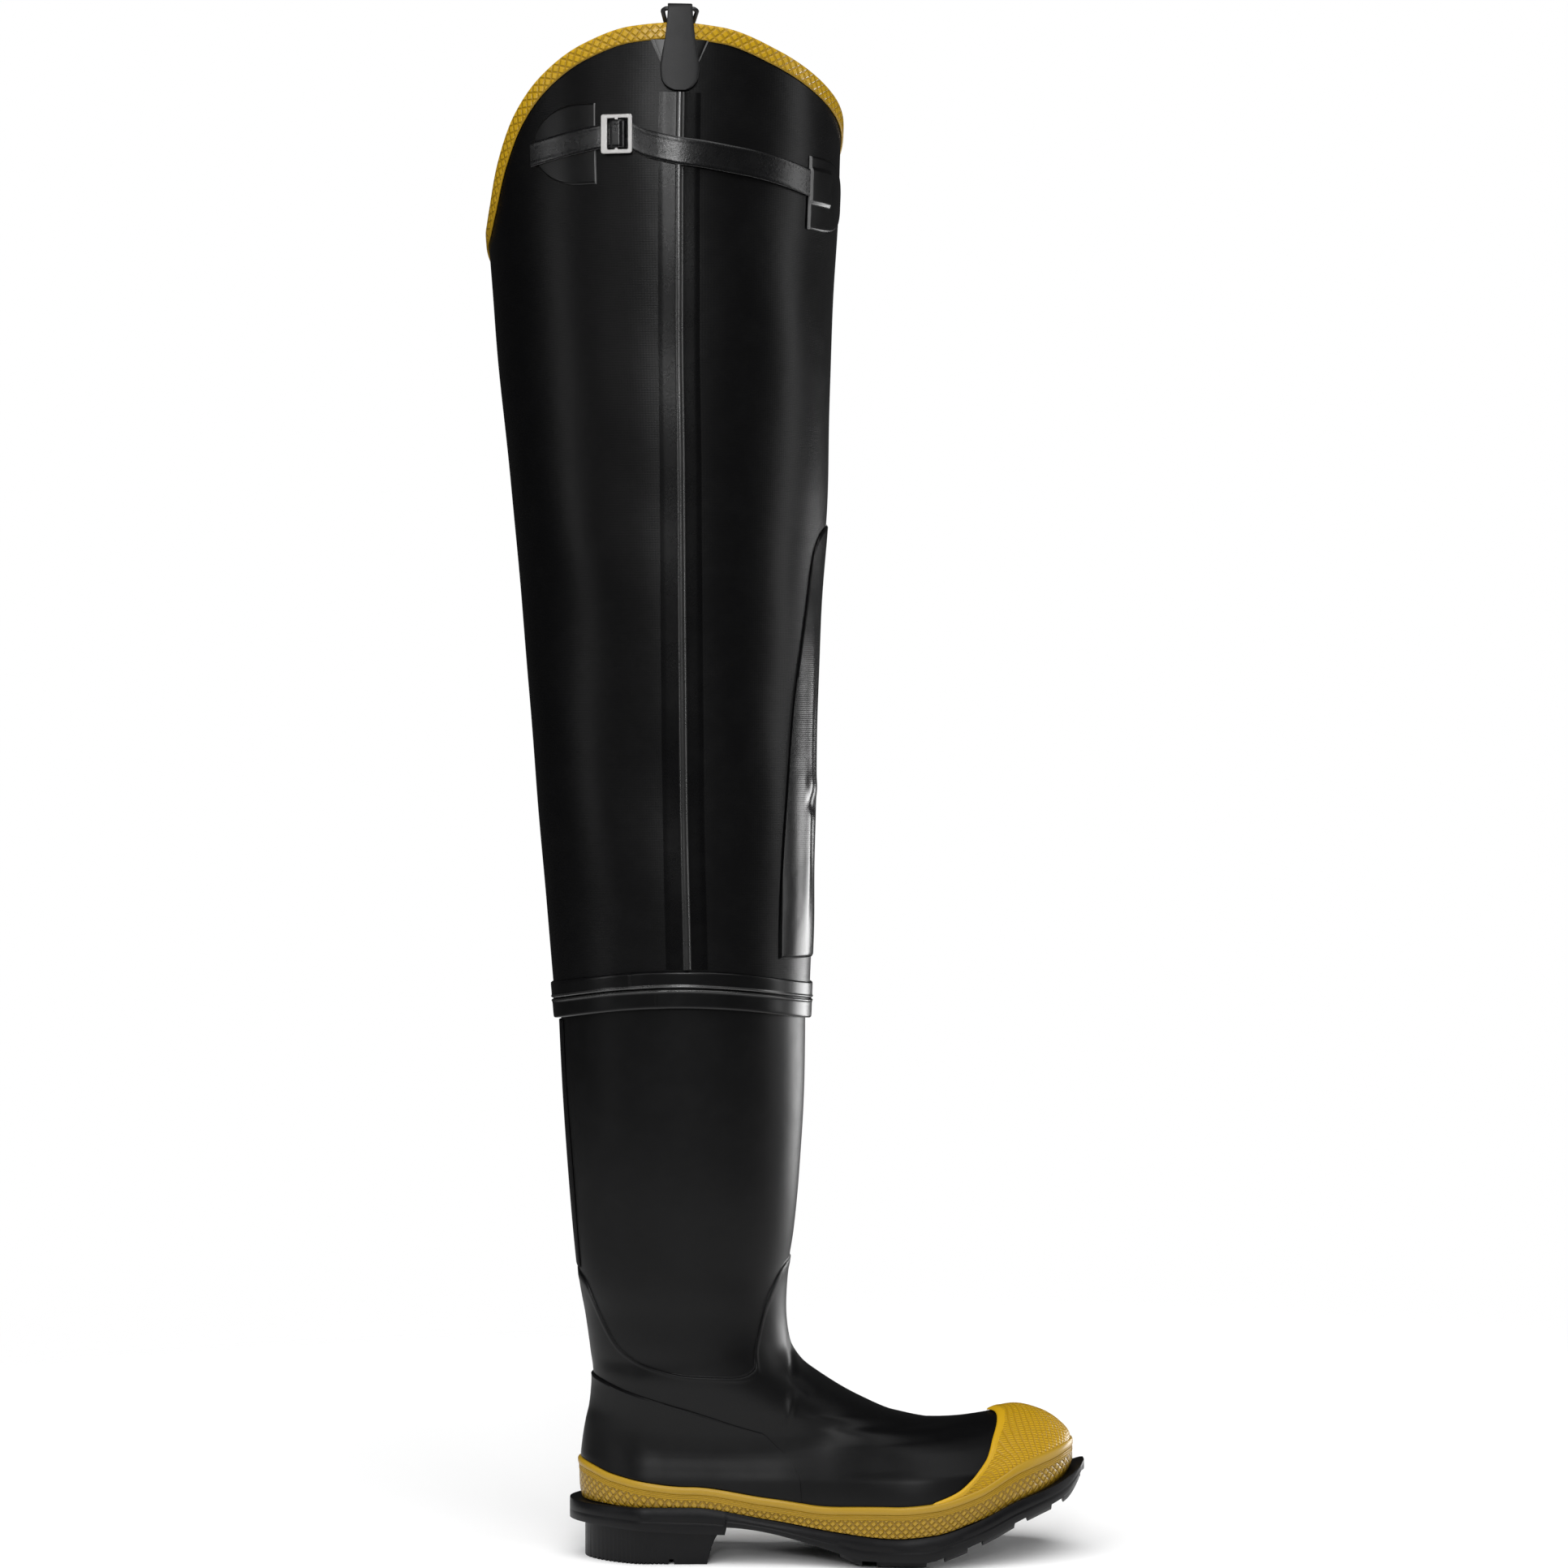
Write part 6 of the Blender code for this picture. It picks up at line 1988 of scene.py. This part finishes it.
@dataclass
class Hardware(Builder):
    """The frame buckle of the thigh strap and the ring of the belt strap."""

    @staticmethod
    def frame_at(angle: float, drop: float) -> tuple[Array, Array, Array]:
        """A place on the shaft, with its level and outward directions.

        Args:
            angle: Angle from the back in degrees.
            drop: Depth below COLLAR_TOP.

        Returns:
            Origin, level direction and outward direction.
        """
        phi = math.radians(angle)
        height = COLLAR_TOP - drop
        origin = SHAFT.points(height, phi)
        out = SHAFT.outward(height, phi, 1.0) - origin
        out[2] = 0.0
        out = out / np.linalg.norm(out)
        return origin, np.cross(np.array((0.0, 0.0, 1.0)), out), out

    def build_buckle(self) -> None:
        """The frame buckle: bevelled plate with two windows."""
        origin, along, out = self.frame_at(BUCKLE_ANGLE, BUCKLE_DROP)
        half_length, half_height = 0.5 * BUCKLE_LENGTH, 0.5 * BUCKLE_HEIGHT
        inner = half_height - BUCKLE_SIDE
        curve = bpy.data.curves.new("buckle_outline", "CURVE")
        curve.dimensions = "2D"
        curve.fill_mode = "BOTH"
        curve.extrude = 0.5 * BUCKLE_THICK - BUCKLE_BEVEL
        curve.bevel_depth = BUCKLE_BEVEL
        curve.bevel_resolution = 2
        curve.offset = -BUCKLE_BEVEL
        outlines = ((-half_length, half_length, -half_height, half_height, 0.0016),
                    (-half_length + BUCKLE_PLATE, -0.5 * BUCKLE_BAR, -inner, inner, 0.0006),
                    (0.5 * BUCKLE_BAR, half_length - BUCKLE_SIDE, -inner, inner, 0.0006))
        for left, right, low, high, corner in outlines:
            spline = curve.splines.new("POLY")
            points = []
            for x, y, turn in ((right, high, 0.0), (left, high, 90.0),
                               (left, low, 180.0), (right, low, 270.0)):
                cx = x - corner if x == right else x + corner
                cy = y - corner if y == high else y + corner
                for step in np.radians(turn + np.linspace(0.0, 90.0, 5)):
                    points.append((cx + corner * math.cos(step), cy + corner * math.sin(step)))
            spline.points.add(len(points) - 1)
            for point, (x, y) in zip(spline.points, points):
                point.co = (x, y, 0.0, 1.0)
            spline.use_cyclic_u = True
        shape = linked("buckle_outline", curve)
        mesh = bpy.data.meshes.new_from_object(shape.evaluated_get(bpy.context.evaluated_depsgraph_get()))
        bpy.data.objects.remove(shape)
        seat = origin + out * (BUCKLE_STAND + 0.5 * BUCKLE_THICK)
        mesh.transform(placed((along, np.cross(out, along), out), seat))
        layer = mesh.uv_layers.new(name="Millimetres") if not mesh.uv_layers else mesh.uv_layers[0]
        layer.name = "Millimetres"
        mesh.materials.clear()
        Piece("strap_buckle", "bright_steel").place(mesh, self.finishes.make(BRIGHT_STEEL))

    def build_ring(self) -> None:
        """The bent wire ring on its wide bar, with rounded corners."""
        origin, along, out = self.frame_at(BELT_ANGLE, 0.0)
        radius = 0.5 * RING_WIRE
        place = origin + out * (BELT_STAND - radius - RING_CLEARANCE) + np.array((0.0, 0.0, RING_HEIGHT))
        hang = -out * math.sin(RING_LEAN) - np.array((0.0, 0.0, math.cos(RING_LEAN)))
        face = np.cross(along, hang)
        wide, narrow, cut = 0.5 * RING_WIDE, 0.5 * RING_NARROW, RING_WIRE
        corners = ((-wide + 0.7 * cut, 0.0), (wide - 0.7 * cut, 0.0), (wide, 0.5 * cut),
                   (narrow + 0.3 * cut, RING_LENGTH - cut), (narrow - 0.5 * cut, RING_LENGTH),
                   (-narrow + 0.5 * cut, RING_LENGTH), (-narrow - 0.3 * cut, RING_LENGTH - cut),
                   (-wide, 0.5 * cut))
        path = []
        total = len(corners)
        for k, corner in enumerate(corners):
            before, after = np.array(corners[k - 1]), np.array(corners[(k + 1) % total])
            here = np.array(corner)
            reach = 0.32 * min(np.linalg.norm(before - here), np.linalg.norm(after - here), 2.2 * cut)
            start = here + (before - here) / np.linalg.norm(before - here) * reach
            end = here + (after - here) / np.linalg.norm(after - here) * reach
            for s in np.linspace(0.0, 1.0, 7):
                path.append((1 - s) ** 2 * start + 2 * s * (1 - s) * here + s * s * end)
        path = np.array(path)
        tangent = np.roll(path, -1, axis=0) - np.roll(path, 1, axis=0)
        tangent = tangent / np.linalg.norm(tangent, axis=1, keepdims=True)
        normal = np.stack([-tangent[:, 1], tangent[:, 0]], axis=1)
        sections = []
        for (level, down), (n_level, n_down) in zip(path, normal):
            centre = place + along * level + hang * down
            side = along * n_level + hang * n_down
            sections.append([centre + radius * (side * math.cos(turn) + face * math.sin(turn))
                             for turn in circle(RING_SIDES)])
        sections = np.array(sections)
        places = wrapped_places(np.arange(len(sections))[:, None] * MM, np.arange(RING_SIDES) * MM)
        parts = loop_parts(sections, places)
        self.show(Piece("belt_ring", "dark_steel", "ring"), parts, DARK_STEEL)

    def build(self) -> None:
        """Build buckle and ring."""
        self.build_buckle()
        self.build_ring()


# Creases and slow waves, listed one by one

BOOT_WAVES = ((2.0, 0.35, 0.4, 0.00025), (3.0, 0.21, 2.1, 0.00018))
SHAFT_WAVES = ((3.0, 4.1, 0.6, 0.00055), (5.0, 6.7, 2.4, 0.00030), (2.0, 11.0, 1.1, 0.00022))

BOOT_CREASES = (
    Crease((0.0850, 0.1400), (0.0885, 0.1070), 0.0017, -0.0011, 0.0008),
    Crease((0.0885, 0.1060), (0.0842, 0.0790), 0.0017, 0.0010),
    Crease((0.1010, 0.1020), (0.0900, 0.1130), 0.0030, -0.0008, 0.0010),
)
SHAFT_FOLDS = (
    Fold((0.4640, 158.0), (0.4600, 179.0), 0.0050, -0.0012),
    Fold((0.4750, 158.0), (0.4710, 179.0), 0.0070, 0.0007),
    Fold((0.5800, 159.5), (0.3850, 159.5), 4.5, 0.0009, 2.5),
    Fold((0.5300, 169.0), (0.4100, 169.0), 3.5, -0.0007, -1.5),
)


# Stage


@dataclass(frozen=True)
class Lamp:
    """An area light aimed at a point.

    Attributes:
        name: Its name.
        place: Where it stands.
        target: Where it points.
        size: Width and height.
        power: Watts.
    """

    name: str
    place: tuple[float, float, float]
    target: tuple[float, float, float]
    size: tuple[float, float]
    power: float

    def build(self) -> None:
        """Add the light."""
        data = bpy.data.lights.new(self.name, "AREA")
        data.shape = "RECTANGLE"
        data.size, data.size_y = self.size
        data.energy = self.power
        place, target = np.array(self.place), np.array(self.target)
        back = (place - target) / np.linalg.norm(place - target)
        side = np.cross((0.0, 0.0, 1.0), back)
        side = side / np.linalg.norm(side)
        linked(self.name, data).matrix_world = placed((side, np.cross(back, side), back), place)


@dataclass
class Studio:
    """Pale floor that fades into pale surroundings, soft lights and the photo's camera.

    Attributes:
        lamps: Area lights.
        surroundings: Brightness of what surrounds the boot, as its surfaces see it.
        daylight: Strength of the soft light from above.
    """

    lamps: tuple[Lamp, ...]
    surroundings: float = 0.03
    daylight: float = 3.3

    def build_floor(self) -> None:
        """A wide pale sheet whose edge fades out."""
        turns = circle(96)
        radii = np.array((0.02, 0.6, FLOOR_RADIUS))
        points = np.stack([radii[:, None] * np.cos(turns), radii[:, None] * np.sin(turns),
                           0.0 * radii[:, None] * turns], axis=-1)
        parts = MeshParts()
        parts.add(points, np.zeros(2), grid_faces(len(radii), len(turns), True)[:, ::-1])
        parts.faces.append(tuple(range(len(turns))))
        parts.slots.append(0)
        mesh = parts.mesh("studio_floor")
        material = bpy.data.materials.new("studio_floor")
        material.use_nodes = True
        bench = NodeBench(material.node_tree)
        shader = material.node_tree.nodes["Principled BSDF"]
        shader.inputs["Base Color"].default_value = FLOOR_COLOUR
        shader.inputs["Roughness"].default_value = FLOOR_ROUGHNESS
        shader.inputs["Specular IOR Level"].default_value = FLOOR_SPECULAR
        length = bench.node("ShaderNodeVectorMath", operation="LENGTH")
        bench.feed(length.inputs[0], bench.node("ShaderNodeTexCoord").outputs["Object"])
        fade = bench.node("ShaderNodeMapRange", interpolation_type="SMOOTHSTEP")
        bench.feed(fade.inputs["Value"], length.outputs["Value"])
        for name, value in zip(("From Min", "From Max", "To Min", "To Max"), (*FLOOR_FADE, 1.0, 0.0)):
            fade.inputs[name].default_value = value
        bench.feed(shader.inputs["Alpha"], fade.outputs["Result"])
        mesh.materials.append(material)
        floor = linked("studio_floor", mesh)

    def build_world(self) -> None:
        """White behind everything, and dim for what the boot's surfaces reflect."""
        world = bpy.data.worlds.new("studio")
        world.use_nodes = True
        bench = NodeBench(world.node_tree)
        background = world.node_tree.nodes["Background"]
        background.inputs["Color"].default_value = (1.0, 1.0, 1.0, 1.0)
        seen = bench.node("ShaderNodeLightPath").outputs["Is Camera Ray"]
        strength = bench.math("MULTIPLY_ADD", seen, 1.0 - self.surroundings, self.surroundings)
        bench.feed(background.inputs["Strength"], strength)
        bpy.context.scene.world = world
        bpy.context.scene.view_settings.view_transform = "Standard"

    def build_daylight(self) -> None:
        """A soft light from above, in front and to the left."""
        data = bpy.data.lights.new("daylight", "SUN")
        data.energy = self.daylight
        data.angle = DAYLIGHT_ANGLE
        made = linked("daylight", data)
        made.rotation_euler = DAYLIGHT_TURN
        made.visible_glossy = False

    def build_camera(self) -> None:
        """The level camera of the photo."""
        data = bpy.data.cameras.new("camera")
        data.sensor_width = CAMERA_SENSOR
        data.lens = CAMERA_LENS
        data.clip_start, data.clip_end = CAMERA_CLIP
        made = linked("camera", data)
        made.location = CAMERA_PLACE
        made.rotation_euler = (math.radians(90.0), 0.0, 0.0)
        bpy.context.scene.camera = made

    def build(self) -> None:
        """Build floor, world, lights and camera."""
        self.build_floor()
        self.build_world()
        self.build_daylight()
        for lamp in self.lamps:
            lamp.build()
        self.build_camera()


LAMPS = (
    Lamp("front_strip", (0.10, -2.9, 1.60), (0.03, 0.0, 0.62), (0.7, 1.3), 18.0),
    Lamp("collar_spot", (0.00, -2.9, 1.28), (0.03, 0.0, 0.82), (0.5, 0.30), 10.0),
    Lamp("left_front", (-1.25, -2.3, 1.25), (0.0, 0.0, 0.83), (0.4, 0.4), 3.0),
    Lamp("right_strip", (2.0, -0.25, 0.8), (0.03, 0.0, 0.40), (0.30, 1.6), 8.0),
    Lamp("right_back", (1.5, 1.0, 0.20), (0.05, 0.0, 0.28), (1.0, 0.5), 17.0),
    Lamp("left_strip", (-1.9, -1.1, 0.7), (0.0, 0.0, 0.2), (0.25, 1.0), 3.5),
    Lamp("top", (0.7, -1.0, 2.2), (0.12, 0.0, 0.1), (1.2, 1.2), 10.0),
)


def main() -> None:
    """Build the boot's looks, its stage and its camera."""
    logging.basicConfig(level=logging.INFO, format="%(name)s: %(message)s")
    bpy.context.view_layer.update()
    finishes = FinishMaker()
    Outsole(finishes).build()
    Foot(finishes, creases=BOOT_CREASES).build()
    Thigh(finishes, folds=SHAFT_FOLDS).build()
    Hardware(finishes).build()
    Studio(LAMPS).build()


if __name__ == "__main__":
    main()
